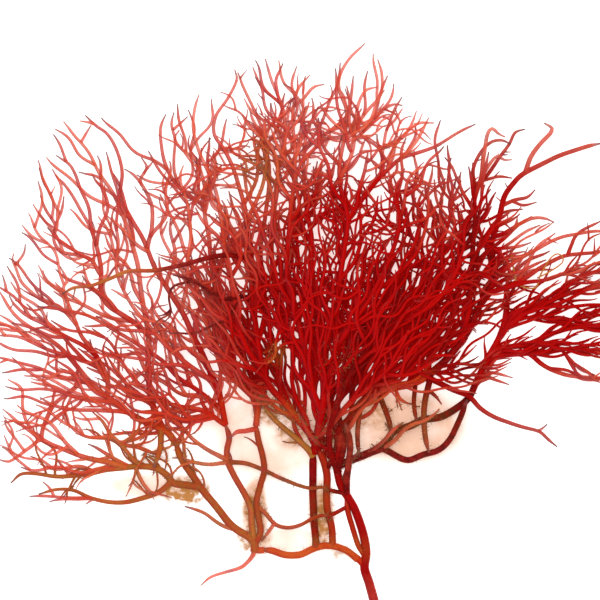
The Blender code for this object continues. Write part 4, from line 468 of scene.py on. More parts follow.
        (60.5, 96.4), (62.4, 104.5), (62.9, 113.0), (63.6, 122.0), (62.8, 131.0), (60.8, 138.0),
        (60.4, 141.6), (61.2, 144.6))),
    Axis("fan_a", LEFT, "left_stalk", 0.5, 0.7, 0.42, (
        (76.0, 46.6), (72.8, 48.2), (68.5, 50.7), (64.5, 53.7), (61.3, 57.2), (56.0, 60.4), (50.5, 63.4))),
    Axis("fan_b", LEFT, "left_stalk", 0.1, 0.6, 0.55, (
        (76.0, 46.2), (70.0, 45.3), (64.0, 46.0), (60.6, 47.4))),
    Axis("fan_c", LEFT, "arm", 0.4, 0.5, 0.42, ((61.6, 45.6), (61.2, 51.0), (60.5, 57.0), (59.8, 62.3))),
    Axis("fan_d", LEFT, "left_stalk", 0.6, 0.75, 0.42, (
        (75.0, 58.2), (70.0, 62.0), (65.0, 63.7), (59.0, 64.9), (53.0, 67.0), (47.5, 71.0), (43.0, 76.0),
        (40.0, 81.0), (36.5, 86.5), (31.0, 90.5))),
    Axis("fan_e", LEFT, "inner_stalk", 0.2, 0.75, 0.65, (
        (85.2, 57.4), (82.0, 56.5), (79.0, 56.2), (76.6, 54.2))),
    Axis("fan_f", LEFT, "left_inner", 0.6, 0.8, 0.42, (
        (85.8, 66.0), (80.5, 71.0), (75.5, 77.0), (72.0, 84.0), (69.0, 92.0), (66.0, 100.0), (62.0, 108.0),
        (57.0, 115.0), (54.0, 122.0), (54.5, 129.0))),
    Axis("fan_g", LEFT, "left_upper", 0.7, 0.75, 0.42, (
        (71.3, 73.0), (65.0, 77.0), (58.5, 82.0), (53.0, 88.0), (45.0, 97.0), (41.0, 104.0), (39.0, 112.0),
        (39.6, 120.0), (37.4, 127.5))),
    Axis("fan_h", LEFT, "left_upper", 0.1, 0.75, 0.42, (
        (74.4, 63.4), (67.0, 69.0), (60.0, 74.0), (54.0, 80.0), (44.0, 86.4), (37.0, 91.0), (29.0, 95.0),
        (21.0, 96.6), (13.0, 98.0))),
)

# Parts of the plan that side branches fill first, and parts that they leave open: centre, half width,
# half depth and strength.
Zone = namedtuple("Zone", "x y across along strength")
ZONE_SLOPE = 1.6
FULL_ZONES = (
    Zone(122, 74, 34, 16, 0.7), Zone(110, 142, 30, 34, 0.6), Zone(66, 62, 26, 12, 0.6),
    Zone(152, 120, 24, 30, 0.6),
)
OPEN_ZONES = (
    Zone(84, 168, 40, 18, 0.4), Zone(48, 142, 32, 24, 0.55), Zone(146, 154, 16, 12, 0.6),
    Zone(184, 122, 34, 14, 0.9), Zone(20, 142, 20, 18, 0.4), Zone(60, 112, 12, 14, 0.3),
    Zone(178, 146, 24, 14, 0.95), Zone(2, 74, 12, 16, 0.8), Zone(20, 62, 20, 12, 0.3),
    Zone(138, 61, 26, 13, 1.0), Zone(144, 147, 12, 10, 0.7), Zone(54, 146, 14, 10, 0.6),
)

# Side branches, order by order: bare share of the parent, share of the frond's triangles, spacing,
# length, fork angle in degrees, radius and tries.
HABITS = (
    Habit(1, 0.07, 0.74, (4.5, 7.5), (14.0, 32.0), (16.0, 46.0), 0.8, 7),
    Habit(2, 0.2, 0.90, (4.5, 8.0), (9.0, 19.0), (22.0, 56.0), 0.66, 5),
    Habit(3, 0.55, 1.00, (3.5, 6.5), (4.0, 9.0), (26.0, 60.0), 0.56, 4),
)
# Triangles of the fronds, radii from which on an axis has more sides, and triangles of a branch's ends.
TRIANGLES = {LEFT: 7300, CENTRE: 8500, RIGHT: 5100}
AXIS_SIDES = ((1.05, 6), (0.85, 4))
FEWEST_SIDES = 3
END_TRIANGLES = 12

# Stalks and struts that stay bare.
BARE = {"runner", "stalk_upper", "stalk_lower", "arm", "left_stalk", "inner_stalk", "strand", "stub",
        "stem", "bow", "bow_strut", "crossing", "whip", "low_branch", "strut_a", "strut_b", "strut_c",
        "strut_d", "strut_e", "strut_f", "low_arc", "link_a", "link_b", "fan_b", "fan_e", "old_cross",
        "low_strut", "right_whip", "antler_a", "antler_b", "upright_b", "upright_c", "upright_d",
        "upright_e", "whip_fork", "far_tip", "spur_a", "spur_b", "stem_side", "join"}

# The disc: its profile from the back to the stem as distances and shares of the radius, and its lobes as
# wave, size, number round the rim and start.
HOLDFAST_CENTRE = (126.3, -6.6, 4.3)
HOLDFAST_RADIUS = 4.4
DISC_SIDES = 56
DISC_STEP = 0.16
DISC_PROFILE = (
    (-1.62, 0.02), (-1.6, 0.3), (-1.5, 0.62), (-1.1, 0.88), (-0.4, 0.99), (0.3, 0.88), (0.9, 0.66),
    (1.4, 0.5), (1.9, 0.42), (2.0, 0.36), (1.5, 0.3), (1.2, 0.02),
)
DISC_LOBES = ((math.sin, 0.09, 3, 0.6), (math.cos, 0.06, 5, 1.1), (math.sin, 0.025, 11, 2.0))

# Extra branchlets that are too fine for the solids: where they start, how many, how long, how thick,
# the angle in degrees at which they leave, how far they swing, how strongly they turn outwards, their
# chance of a fork, and whether they also grow on the bare branches.
Lace = namedtuple("Lace", "x y across along count length radius angle swing pull fork bare")
LACE_SEED = 2208
LACES = (
    Lace(103, 84, 26, 28, 130, (20, 44), 0.72, (4, 30), 10, 0.08, 0.25, False),
    Lace(118, 74, 18, 14, 40, (14, 32), 0.8, (6, 34), 10, 0.08, 0.3, False),
    Lace(142, 88, 24, 22, 80, (18, 36), 0.72, (6, 34), 11, 0.07, 0.25, False),
    Lace(108, 110, 40, 20, 54, (14, 30), 0.62, (14, 60), 13, 0.04, 0.3, False),
    Lace(184, 84, 28, 11, 60, (14, 34), 0.66, (4, 18), 8, 0.1, 0.2, False),
    Lace(170, 94, 12, 6, 18, (10, 24), 0.6, (4, 22), 9, 0.06, 0.3, False),
    Lace(124, 124, 10, 8, 16, (8, 18), 0.54, (20, 80), 14, 0.03, 0.4, False),
    Lace(94, 84, 8, 6, 10, (14, 30), 0.66, (4, 30), 10, 0.08, 0.3, False),
    Lace(20, 95, 9, 7, 9, (10, 22), 0.56, (10, 50), 12, 0.06, 0.2, False),
    Lace(34, 117, 10, 6, 9, (10, 20), 0.54, (14, 60), 12, 0.06, 0.2, False),
    Lace(190, 105, 12, 6, 18, (10, 22), 0.56, (6, 34), 10, 0.06, 0.3, False),
    Lace(122, 150, 8, 9, 12, (8, 20), 0.5, (40, 110), 19, 0.01, 0.4, False),
    Lace(44, 46, 16, 9, 13, (6, 16), 0.56, (20, 80), 14, 0.04, 0.3, True),
    Lace(76, 65, 12, 7, 22, (8, 18), 0.6, (20, 80), 14, 0.04, 0.3, True),
    Lace(78, 74, 16, 18, 50, (14, 30), 0.68, (6, 40), 11, 0.06, 0.3, False),
    Lace(30, 58, 34, 20, 20, (9, 24), 0.56, (24, 80), 15, 0.05, 0.3, False),
    Lace(62, 68, 20, 14, 14, (12, 26), 0.6, (14, 60), 12, 0.06, 0.3, False),
    Lace(48, 48, 38, 14, 34, (5, 14), 0.46, (20, 70), 14, 0.05, 0.2, True),
    Lace(136, 59, 24, 12, 8, (1.5, 5), 0.42, (30, 90), 18, 0.04, 0.0, True),
    Lace(154, 80, 14, 12, 26, (8, 20), 0.64, (8, 40), 11, 0.06, 0.2, False),
    Lace(100, 40, 20, 16, 12, (3, 8), 0.45, (30, 90), 18, 0.04, 0.1, True),
    Lace(178, 140, 28, 20, 20, (1.4, 4.0), 0.46, (35, 80), 6, 0.05, 0.0, True),
    Lace(98, 160, 50, 26, 22, (1.4, 4.0), 0.42, (30, 75), 6, 0.05, 0.0, False),
    Lace(20, 110, 36, 50, 18, (1.4, 4.5), 0.4, (30, 80), 6, 0.05, 0.0, True),
    Lace(98, 136, 38, 24, 96, (8, 22), 0.5, (40, 110), 19, 0.01, 0.45, False),
    Lace(112, 104, 46, 22, 100, (10, 26), 0.54, (40, 110), 17, 0.01, 0.4, False),
    Lace(156, 108, 14, 24, 30, (7, 18), 0.5, (40, 110), 19, 0.01, 0.4, False),
    Lace(54, 106, 26, 26, 26, (8, 22), 0.48, (40, 110), 18, 0.01, 0.4, False),
    Lace(44, 64, 32, 18, 16, (8, 20), 0.48, (40, 110), 18, 0.01, 0.35, False),
)
# Radius of the finest tips and distance between the points of a fine line.
LACE_TIP = 0.36
LACE_STEP = 1.15
STEP = 1.0
# Highest and lowest level that a skin may reach.
TOP_HEIGHT = 16.85
FLOOR_CLEARANCE = 0.02
# Natural wave of thick branches and of branchlets.
BRANCH_WAVE = 0.14
LACE_WAVE = 0.2
# Lengths over which a tip gets slim and takes its colour, the swelling where a branch starts, and the
# rounding of a tip as distances and radii in shares of its last radius.
TIP_TAPER = 4.0
TIP_TINT = 4.0
TIP_SLIM = 0.5
ROOT_SWELLING = 0.16
ROOT_REACH = 1.1
TIP_CAP = ((0.55, 0.84), (0.88, 0.48), (1.0, 0.08))
# Cells that count how thickly the branches lie: their size, first corner and number, how often they
# are smoothed, and the share of the filled cells that lies under the count that stands for 1.
CELL = 2.0
CELLS_FROM = (-20.0, -20.0)
CELLS = (130, 115)
CELL_SMOOTHINGS = 4
CROWDED_PERCENTILE = 97
# What makes tissue look thick: zone, crowding, own thickness and own tone; the crowding is painted shade,
# a deeper red where branches lie over each other; the tone in the middle, and the radius from which on
# a branch is thick and the rise to a thick one.
FLESH_SHARES = (0.9, 0.25, 0.48, 0.35)
MIDDLE_TONE = 0.45
THIN_RADIUS, THICKENING = 0.55, 0.5
# Hairs and crumbs: distance between the roots, longest hair, clearance at the floor and the top in
# metres, lowest chance that counts, highest chance of a crumb, and the ranges of their turns in radians,
# sides and sizes.
HAIR_SPACING = 0.15
LONGEST_HAIR = 3.4
HAIR_CLEARANCE = (0.0002, 0.0005)
LEAST_CHANCE = 0.01
CRUMB_CHANCE = 0.9
HAIR_TURN = ((-2.2, -2.2, -3.14), (2.2, 2.2, 3.14))
HAIR_SIZE = (0.25, 1.0)
CRUMB_SIDE = ((-1.0, -1.0, -0.3), (1.0, 1.0, 1.0))
CRUMB_TURN = ((-3.0, -3.0, -3.0), (3.0, 3.0, 3.0))
CRUMB_SIZE = ((0.4, 0.4, 0.3), (1.0, 1.0, 0.8))
# Waves of the uneven skin for each metre.
SKIN_WAVES = 420.0

# Patches of colour on the plan: centre, half width, half depth and strength. Their strength is nothing
# from the reach on, in shares of the half widths.
PATCH_REACH = 1.35
HAIR_REACH = 1.3
CORE_ZONES = (
    Zone(108, 92, 36, 34, 1.0), Zone(142, 94, 30, 36, 1.0), Zone(122, 122, 40, 22, 0.8),
    Zone(160, 118, 12, 26, 0.9), Zone(184, 92, 32, 18, 1.0), Zone(28, 84, 16, 9, 0.35),
    Zone(60, 66, 22, 18, 0.35), Zone(84, 108, 20, 20, 0.45), Zone(168, 134, 12, 12, 0.4),
    Zone(196, 108, 24, 22, 0.4), Zone(108, 36, 8, 20, 0.85), Zone(118, 24, 8, 20, 0.7),
)
DARK_ZONES = (
    Zone(122, 50, 8, 7, 1.0), Zone(157, 76, 8, 7, 0.7), Zone(158, 117, 4, 18, 0.6),
    Zone(121, 80, 5, 9, 0.5), Zone(88, 72, 8, 12, 0.25), Zone(108, 46, 7, 10, 0.7),
    Zone(176, 144, 32, 20, 0.35), Zone(196, 108, 24, 20, 0.22), Zone(186, 82, 28, 12, 0.2),
)
WARM_ZONES = (
    Zone(38, 52, 42, 22, 0.5), Zone(46, 116, 44, 34, 0.12), Zone(84, 140, 16, 18, 0.5),
    Zone(104, 18, 22, 6, 0.3), Zone(80, 62, 14, 10, 0.4),
)
SILT_ZONES = (
    Zone(85, 26, 7, 12, 0.45), Zone(104, 17, 22, 5, 0.35), Zone(52, 46, 26, 11, 0.6),
    Zone(86, 143, 7, 10, 0.6), Zone(108, 30, 5, 9, 0.15), Zone(93, 60, 7, 6, 0.8),
    Zone(134, 60, 18, 10, 0.3), Zone(92, 82, 4, 4, 0.5),
)
# The same for whole branches.
DARK_BRANCHES = {
    "web_a": 0.75, "web_b": 0.7, "web_c": 0.9, "web_d": 0.85, "bow_end": 0.5, "crossing_end": 0.8,
    "dark_arm": 1.0, "low_arc": 0.9, "strut_a": 0.85, "strut_b": 0.85, "strut_e": 0.8, "strut_d": 0.75,
    "strut_f": 0.65, "thin_cross": 0.95, "old_cross": 0.8, "crossing": 0.75, "right_whip": 0.4,
    "stub": 0.9, "stem": 0.4, "stem_side": 0.8, "join": 0.75, "ridge": 0.45, "stalk_upper": 0.7,
    "stalk_lower": 0.45, "join_b": 0.75, "join_c": 0.5, "strand": 0.35, "arm": 0.45, "left_stalk": 0.5,
    "inner_stalk": 0.55, "bow": 0.5, "silt_arm": 0.5, "low_left": 0.45, "crown_u": 0.4, "link_a": 0.45,
    "dark_fork": 0.35, "runner": 0.12,
}
SILT_BRANCHES = {
    "old_cross": 0.6, "thread": 1.0, "arm": 0.35, "silt_arm": 0.45, "low_left": 0.45, "dark_fork": 0.4,
    "silted": 0.9, "crossing": 0.25, "runner": 0.2, "link_a": 0.4, "low_branch": 0.5, "fan_b": 0.4,
    "left_stalk": 0.15, "inner_stalk": 0.2, "bow": 0.15,
}
BRIGHT_BRANCHES = {
    "runner_right": 0.6, "runner_left": 0.5, "right_main": 0.9, "runner": 0.85, "left_stalk": 0.35,
    "inner_stalk": 0.3, "bow": 0.3, "strut_c": 0.5, "strand": 0.5, "stalk_lower": 0.6,
}

# Places where fine hairs grow: centre, half width, half depth, hairs per millimetre, longest hair.
Patch = namedtuple("Patch", "x y across along density length")
FUZZ_PATCHES = (
    Patch(134, 57, 24, 12, 11.0, 1.3), Patch(114, 50, 8, 12, 12.0, 1.3), Patch(104, 58, 10, 9, 8.0, 1.5),
    Patch(90, 62, 8, 9, 11.0, 2.0), Patch(56, 45, 20, 8, 3.0, 0.9), Patch(100, 18, 22, 5, 5.0, 1.2),
    Patch(86, 28, 7, 12, 10.0, 1.6), Patch(108, 30, 5, 13, 14.0, 2.2), Patch(86, 143, 7, 9, 0.8, 1.2),
    Patch(112, 80, 8, 9, 2.0, 1.2), Patch(93, 40, 14, 5, 7.0, 1.4),
)

# Painted light: light that the plant colours on the floor round it, painted into the floor's colour:
# centre, half width, half depth and strength.
PAINTED_GLOW_ZONES = (
    Zone(91, 56, 20, 16, 0.75), Zone(134, 58, 20, 12, 1.0), Zone(107, 30, 4, 10, 1.0),
    Zone(85, 30, 4, 12, 0.9), Zone(110, 88, 40, 34, 0.22), Zone(97, 20, 13, 4, 0.7),
    Zone(50, 38, 14, 4, 0.7),
)
STAIN_ZONES = (
    Zone(85, 29, 3.6, 8, 0.7), Zone(107, 26, 2.6, 8, 0.85), Zone(84.5, 20, 5, 5, 0.6),
    Zone(62, 36.5, 7, 4, 1.0), Zone(90, 63, 5, 4, 0.6), Zone(122, 62, 7, 5, 0.4),
    Zone(50, 48, 7, 4, 0.3), Zone(110, 54, 5, 6, 0.6), Zone(98, 56, 6, 5, 0.45),
    Zone(114, 15, 4, 3, 0.45),
)

# Short strands that close the gaps where stalks of different fronds meet: name, frond, radius at the
# start and at the end, and points with their heights.
Join = namedtuple("Join", "name frond base tip points")
JOINS = (
    Join("web_a", RIGHT, 1.25, 1.0, (
        (112.9, 42.4, 1.3), (111.2, 46.2, 2.2), (108.9, 49.8, 3.0), (107.2, 53.6, 3.8), (107.2, 59.0, 4.8),
        (108.8, 65.0, 6.0), (111.4, 71.0, 7.2))),
    Join("web_b", RIGHT, 1.1, 1.0, (
        (106.4, 52.6, 3.0), (109.6, 54.0, 3.2), (112.8, 56.6, 3.6), (116.0, 60.4, 4.2))),
    Join("thread", RIGHT, 0.28, 0.24, (
        (170.3, 114.7, 6.0), (171.3, 108.0, 6.6), (172.7, 105.0, 6.8), (178.0, 104.0, 6.9),
        (180.0, 108.7, 7.0), (183.3, 114.0, 6.6), (186.0, 115.3, 6.4), (187.3, 112.7, 6.6),
        (182.7, 109.3, 7.2), (178.7, 107.3, 7.4))),
    Join("web_c", RIGHT, 0.9, 0.7, (
        (109.2, 44.0, 1.6), (111.0, 48.0, 2.4), (112.2, 52.6, 3.0), (111.6, 57.4, 4.0),
        (112.4, 63.0, 5.2))),
    Join("web_d", CENTRE, 1.1, 0.8, (
        (112.4, 43.6, 1.6), (114.2, 49.0, 2.2), (114.6, 54.0, 2.8), (113.2, 60.0, 4.4), (112.6, 67.0, 6.4),
        (114.6, 74.0, 8.0))),
    Join("runner_right", CENTRE, 1.15, 1.1, ((118.6, 14.2, 1.0), (120.2, 12.9, 1.1), (121.7, 11.0, 1.2))),
    Join("runner_left", CENTRE, 1.1, 1.1, ((88.0, 16.7, 1.0), (86.2, 16.6, 1.0), (85.0, 17.0, 1.1))),
    Join("bow_end", LEFT, 0.75, 0.7, ((109.4, 27.9, 3.3), (112.0, 29.2, 2.4), (115.0, 30.8, 1.4))),
    Join("crossing_end", LEFT, 0.75, 0.7, ((109.6, 36.8, 3.3), (112.0, 36.2, 2.4), (114.6, 35.6, 1.6))),
)


def ease(value):
    """A smooth step from 0 to 1."""
    value = np.clip(value, 0.0, 1.0)
    return value * value * (3.0 - 2.0 * value)


def fade(values, start, width):
    """0 up to the start and 1 after the width beyond it; a width below 0 runs the other way."""
    return ease((values - start) / width)


def in_frame(x, y, z):
    """A place of the tables in metres of the frame."""
    return (x - ORIGIN_PLAN[0]) * MM, (y - ORIGIN_PLAN[1]) * MM, z * MM


def apart_from(points, zone):
    """Distance of plan points from the middle of a zone, in shares of its half widths."""
    return np.hypot((points[:, 0] - zone.x) / zone.across, (points[:, 1] - zone.y) / zone.along)


def turn_between(angle, wanted):
    """The shorter turn from one direction to another, in radians."""
    return (wanted - angle + math.pi) % (2 * math.pi) - math.pi


def either_side(random):
    """The left side or the right side, by chance."""
    return 1.0 if random.random() < 0.5 else -1.0


def heap_top(plan):
    """Height in millimetres that the heap of branches reaches above a plan point."""
    across = (plan[..., 0] - HEAP_CENTRE[0]) / HEAP_REACH[0]
    along = (plan[..., 1] - HEAP_CENTRE[1]) / HEAP_REACH[1]
    rim = ease(HEAP_RIM - np.hypot(across, along))
    stalks = np.exp(-((plan[..., 0] - STALK_CENTRE[0]) / STALK_REACH[0]) ** 2
                    - ((plan[..., 1] - STALK_CENTRE[1]) / STALK_REACH[1]) ** 2)
    return EDGE_HEIGHT + (HEAP_HEIGHT - EDGE_HEIGHT) * rim + STALK_HEIGHT * stalks


def spread_angle(point):
    """Direction, in radians, in which branches at a plan point run outwards."""
    angle = math.atan2(point[1] - FIELD_FOCUS[1], point[0] - FIELD_FOCUS[0])
    if point[0] > BEND_START:
        angle -= BEND_ANGLE * float(fade(point[0], BEND_START, BEND_WIDTH))
    if angle < -0.5 * math.pi:
        angle += 2.0 * math.pi
    return angle


def zone_strength(point, zones):
    """How far a plan point belongs to the zones: nothing outside them, their strength in the middle."""
    inside = 0.0
    for zone in zones:
        reach = math.hypot((point[0] - zone.x) / zone.across, (point[1] - zone.y) / zone.along)
        inside = max(inside, zone.strength * float(ease(ZONE_SLOPE * (1.0 - reach))))
    return inside


def inside_outline(plan):
    """Which plan points lie inside the spread of the fronds."""
    corners = np.array(OUTLINE, float)
    following = np.roll(corners, -1, axis=0)
    x, y = plan[:, 0][:, None], plan[:, 1][:, None]
    spans = (corners[:, 1] > y) != (following[:, 1] > y)
    rise = np.where(following[:, 1] == corners[:, 1], 1e-9, following[:, 1] - corners[:, 1])
    crossing = corners[:, 0] + (y - corners[:, 1]) / rise * (following[:, 0] - corners[:, 0])
    return (spans & (x < crossing)).sum(axis=1) % 2 == 1


def follow(points, steps=10):
    """Smooth curve through the points, as a dense run of samples."""
    points = np.array(points, float)
    ends = np.vstack([2 * points[0] - points[1], points, 2 * points[-1] - points[-2]])
    run = []
    for index in range(1, len(ends) - 2):
        before, start, end, after = ends[index - 1:index + 3]
        for step in range(steps):
            t = step / steps
            run.append(0.5 * (2 * start + (end - before) * t
                              + (2 * before - 5 * start + 4 * end - after) * t * t
                              + (3 * start - before - 3 * end + after) * t ** 3))
    run.append(points[-1])
    return np.array(run)


def arc_length(run):
    """Distance along the plan from the start to each point."""
    return np.concatenate([[0.0], np.cumsum(np.linalg.norm(np.diff(run[:, :2], axis=0), axis=1))])


def space_out(run, count):
    """The run cut into equal steps along its plan length."""
    length = arc_length(run)
    marks = np.linspace(0.0, length[-1], count + 1)
    return np.column_stack([np.interp(marks, length, run[:, axis]) for axis in range(run.shape[1])])


def count_steps(run, step, least=2):
    """Number of steps of about the given length along a run."""
    return max(int(round(arc_length(run)[-1] / step)), least)


def smooth(points, step):
    """The points joined by one smooth curve and cut into equal steps of about the given length."""
    run = follow(points)
    return space_out(run, count_steps(run, step))


def leave_height(start, settled, length, early, slope):
    """Heights that run from the start's height into the settled ones, more slowly for a higher rise."""
    rise = abs(float(settled[min(early, len(settled) - 1)]) - start)
    return start + (settled - start) * ease(length / max(SHORTEST_RISE, slope * rise))


class Branch:
    """One tapering branch: ring centres, ring radii, its node, its order and its layer in the heap."""

    def __init__(self, name, frond, level, layer, rings, radii, parent=None, fine=None):
        self.name = name
        self.frond = frond
        self.level = level
        self.layer = layer
        self.rings = rings
        self.radii = radii
        self.parent = parent
        self.length = arc_length(rings)
        self.fine = fine

    def at(self, distance):
        """Place and radius at a distance from the start."""
        place = [float(np.interp(distance, self.length, self.rings[:, axis])) for axis in range(3)]
        return np.array(place), float(np.interp(distance, self.length, self.radii))

    def heading(self, distance):
        """Direction on the plan, in radians, at a distance from the start."""
        after, _ = self.at(min(distance + 1.0, self.length[-1]))
        before, _ = self.at(max(distance - 1.0, 0.0))
        return math.atan2(after[1] - before[1], after[0] - before[0])

    def nearest(self, point):
        """Distance from the start to the place that is nearest to a plan point."""
        marks = np.linspace(0.0, self.length[-1], max(int(self.length[-1] * 4), 2))
        x = np.interp(marks, self.length, self.rings[:, 0])
        y = np.interp(marks, self.length, self.rings[:, 1])
        return float(marks[np.argmin(np.hypot(x - point[0], y - point[1]))])

    def triangles(self):
        """Number of triangles that the branch takes in the solids."""
        return 2 * sides_of(self) * (len(self.rings) - 1) + END_TRIANGLES


def sides_of(branch):
    """Number of sides that the branch has in the solids."""
    for least, sides in AXIS_SIDES:
        if branch.level == 0 and float(branch.radii[0]) >= least:
            return sides
    return FEWEST_SIDES


def samples_of(rings, radii):
    """Points every millimetre or so along the straight runs between rings."""
    marks = arc_length(rings)
    count = max(int(marks[-1] / SAMPLE_STEP), 3)
    along = np.linspace(0.0, marks[-1], count + 1)
    return space_out(rings, count), np.interp(along, marks, radii), along


class Plant:
    """Every branch placed so far, and the room that is left between them."""

    # How far round a branch others are looked for, the gap that counts where none is near, and the gap
    # under which two branches of one frond touch.
    SEARCH_MARGIN = 3.2
    WIDE_GAP = 9.0
    TOUCH_GAP = 0.12
    # Length over which a branch leaves its parent's height, for each millimetre of rise.
    RISE_SLOPE = 2.2
    # Layers tried for the start and the end of an axis, the length of its root that may touch, and what
    # a layer other than the wanted one and a lack of room cost.
    FIRST_LAYERS, LAST_LAYERS = 11, 6
    AXIS_ROOT = 7.0
    LAYER_COSTS = (6.0, 3.0)
    GAP_COST, CLASH_COST = 1000.0, 200.0
    # Side branches: step, turn outwards for each step, bend in degrees and its wavelength, share of the
    # length that has to stay inside the outline, ring distances, share of the parent's thickness, root
    # that may touch, and layers tried beside the parent's.
    SIDE_STEP = 1.5
    SIDE_PULL = 0.07
    SIDE_BEND = (3.0, 11.0)
    SIDE_WAVE = 2.6
    SIDE_INSIDE = 0.55
    SIDE_RINGS = {1: 5.5, 2: 5.5, 3: 3.5}
    SIDE_THICKNESS = 0.92
    SIDE_ROOT = (3.4, 2.0)
    LAYER_SHIFTS = (0.0, 0.14, -0.14, 0.3, -0.3, 0.5, -0.5)
    LAYER_JITTER = 0.06
    # Distance that a new tip keeps from others where the heap is thinnest, and bare end of a parent.
    TIP_ROOM = 1.9
    BARE_END = 1.5

    def __init__(self):
        self.branches = []
        self.named = {}
        self.place = np.zeros((0, 3))
        self.radius = np.zeros(0)
        self.frond = np.zeros(0, int)
        self.random = np.random.default_rng(SEED)
        self.fronds = (LEFT, CENTRE, RIGHT)

    def add(self, branch):
        """Take in one branch and the room that it fills."""
        place, radius, _ = samples_of(branch.rings, branch.radii)
        self.place = np.vstack([self.place, place])
        self.radius = np.concatenate([self.radius, radius])
        self.frond = np.concatenate([self.frond, np.full(len(place), self.fronds.index(branch.frond))])
        self.branches.append(branch)
        self.named[branch.name] = branch

    def crowding(self, rings, radii, frond, root_free):
        """Smallest gap to other fronds, and how far the branch runs through its own frond."""
        place, radius, along = samples_of(rings, radii)
        low, high = place.min(axis=0) - self.SEARCH_MARGIN, place.max(axis=0) + self.SEARCH_MARGIN
        near = np.all((self.place > low) & (self.place < high), axis=1)
        if not near.any():
            return self.WIDE_GAP, 0
        apart = np.linalg.norm(place[:, None, :] - self.place[near][None, :, :], axis=2)
        gap = apart - radius[:, None] - self.radius[near][None, :]
        own = self.frond[near] == self.fronds.index(frond)
        other_gap = float(gap[:, ~own].min()) if (~own).any() else self.WIDE_GAP
        later = along > root_free
        touches = 0
        if own.any() and later.any():
            touches = int((gap[later][:, own].min(axis=1) < self.TOUCH_GAP).sum())
        return other_gap, touches

    def heights(self, plan, radii, start, first, last):
        """Ring heights that leave the start height and settle between two layers of the heap."""
        length = arc_length(plan)
        share = length / max(length[-1], 1e-6)
        layer = first + (last - first) * share
        floor = FLOOR_SINK * radii
        room = np.maximum(heap_top(plan) - floor - radii, 0.0)
        settled = floor + layer * room
        return np.maximum(leave_height(start, settled, length, 1, self.RISE_SLOPE), floor)

    def place_axis(self, axis):
        """Put one traced axis in the heap, clear of the other fronds."""
        if len(axis.points[0]) == 3:
            run = follow(axis.points)
            rings = space_out(run, count_steps(run, TRACED_STEP))
            rings[:, 2] = np.interp(arc_length(rings), arc_length(run), run[:, 2])
            radii = np.linspace(axis.base, axis.tip, len(rings))
            self.add(Branch(axis.name, axis.frond, 0, 0.0, rings, radii, fine=run))
            return
        parent = self.named[axis.parent]
        root, thickness = parent.at(parent.nearest(axis.points[0]))
        run = follow((tuple(root[:2]),) + tuple(axis.points[1:]))
        plan = space_out(run, count_steps(run, RING_STEP))
        radii = np.linspace(axis.base, axis.tip, len(plan)) * FULLNESS
        radii = np.maximum(np.minimum(radii, thickness + SWELLING * arc_length(plan)), SLIMMEST)
        best = None

        def off(layer):
            return abs(layer - axis.layer)

        for first in sorted(np.linspace(0.0, 1.0, self.FIRST_LAYERS), key=off):
            for last in sorted(np.linspace(0.0, 1.0, self.LAST_LAYERS), key=off):
                height = self.heights(plan, radii, root[2], first, last)
                rings = np.column_stack([plan, height])
                gap, touches = self.crowding(rings, radii, axis.frond, self.AXIS_ROOT)
                cost = touches + self.LAYER_COSTS[0] * off(first) + self.LAYER_COSTS[1] * off(last)
                cost += self.GAP_COST * max(NODE_GAP - gap, 0.0)
                cost += self.CLASH_COST if gap < NODE_GAP else 0.0
                if best is None or cost < best[0]:
                    best = (cost, rings, first, gap)
        if best[3] < NODE_GAP:
            print("no room for", axis.name, round(best[3], 2))
            return
        self.add(Branch(axis.name, axis.frond, 0, best[2], best[1], radii, parent, run))

    def shoot(self, parent, distance, side, habit):
        """One side branch from the parent, or nothing where there is no room for it."""
        random = self.random
        root, thickness = parent.at(distance)
        length = random.uniform(*habit.length)
        angle = parent.heading(distance) + side * math.radians(random.uniform(*habit.angle))
        phase = random.uniform(0.0, 2.0 * math.pi)
        bend = math.radians(random.uniform(*self.SIDE_BEND))
        steps = max(int(length / self.SIDE_STEP), 3)
        point, path = root[:2].copy(), [root[:2].copy()]
        for step in range(steps):
            share = (step + 1) / steps
            turn = turn_between(angle, spread_angle(point))
            angle += self.SIDE_PULL * turn + bend * math.cos(share * length / self.SIDE_WAVE + phase)
            point = point + length / steps * np.array([math.cos(angle), math.sin(angle)])
            path.append(point.copy())
        path = np.array(path)
        inside = inside_outline(path[1:])
        if not inside.all():
            keep = int(np.argmin(inside)) + 1
            if keep < 3 or keep * length / steps < self.SIDE_INSIDE * length:
                return None
            path, length = path[:keep], length * keep / steps
        plan = space_out(path, max(int(round(length / self.SIDE_RINGS[habit.level])), 1))
        start = min(habit.radius, self.SIDE_THICKNESS * thickness)
        radii = np.linspace(max(start, TIP_RADIUS), TIP_RADIUS, len(plan))
        free = self.SIDE_ROOT[0] + self.SIDE_ROOT[1] * thickness
        for shift in self.LAYER_SHIFTS[:habit.tries]:
            jitter = random.uniform(-self.LAYER_JITTER, self.LAYER_JITTER)
            first = min(max(parent.layer + shift + jitter, 0.0), 1.0)
            height = self.heights(plan, radii, root[2], first, first)
            rings = np.column_stack([plan, height])
            gap, touches = self.crowding(rings, radii, parent.frond, free)
            if gap >= NODE_GAP and touches == 0:
                name = "%s_%d_%d" % (parent.name, habit.level, len(self.branches))
                return Branch(name, parent.frond, habit.level, first, rings, radii, parent, path)
        return None

    def spacing_ok(self, branch):
        """Keep the open lace at the rim open: no new tip right beside another branch."""
        tip = branch.rings[-1]
        apart = np.hypot(self.place[:, 0] - tip[0], self.place[:, 1] - tip[1])
        crowded = float(heap_top(tip[:2])) / HEAP_HEIGHT
        return float(apart.min()) > self.TIP_ROOM * (1.0 - crowded)

    def wanted(self, spot):
        """Whether a side branch may start here: seldom where the plant is open."""
        place, _ = spot[0].at(spot[1])
        return self.random.random() > zone_strength(place, OPEN_ZONES)

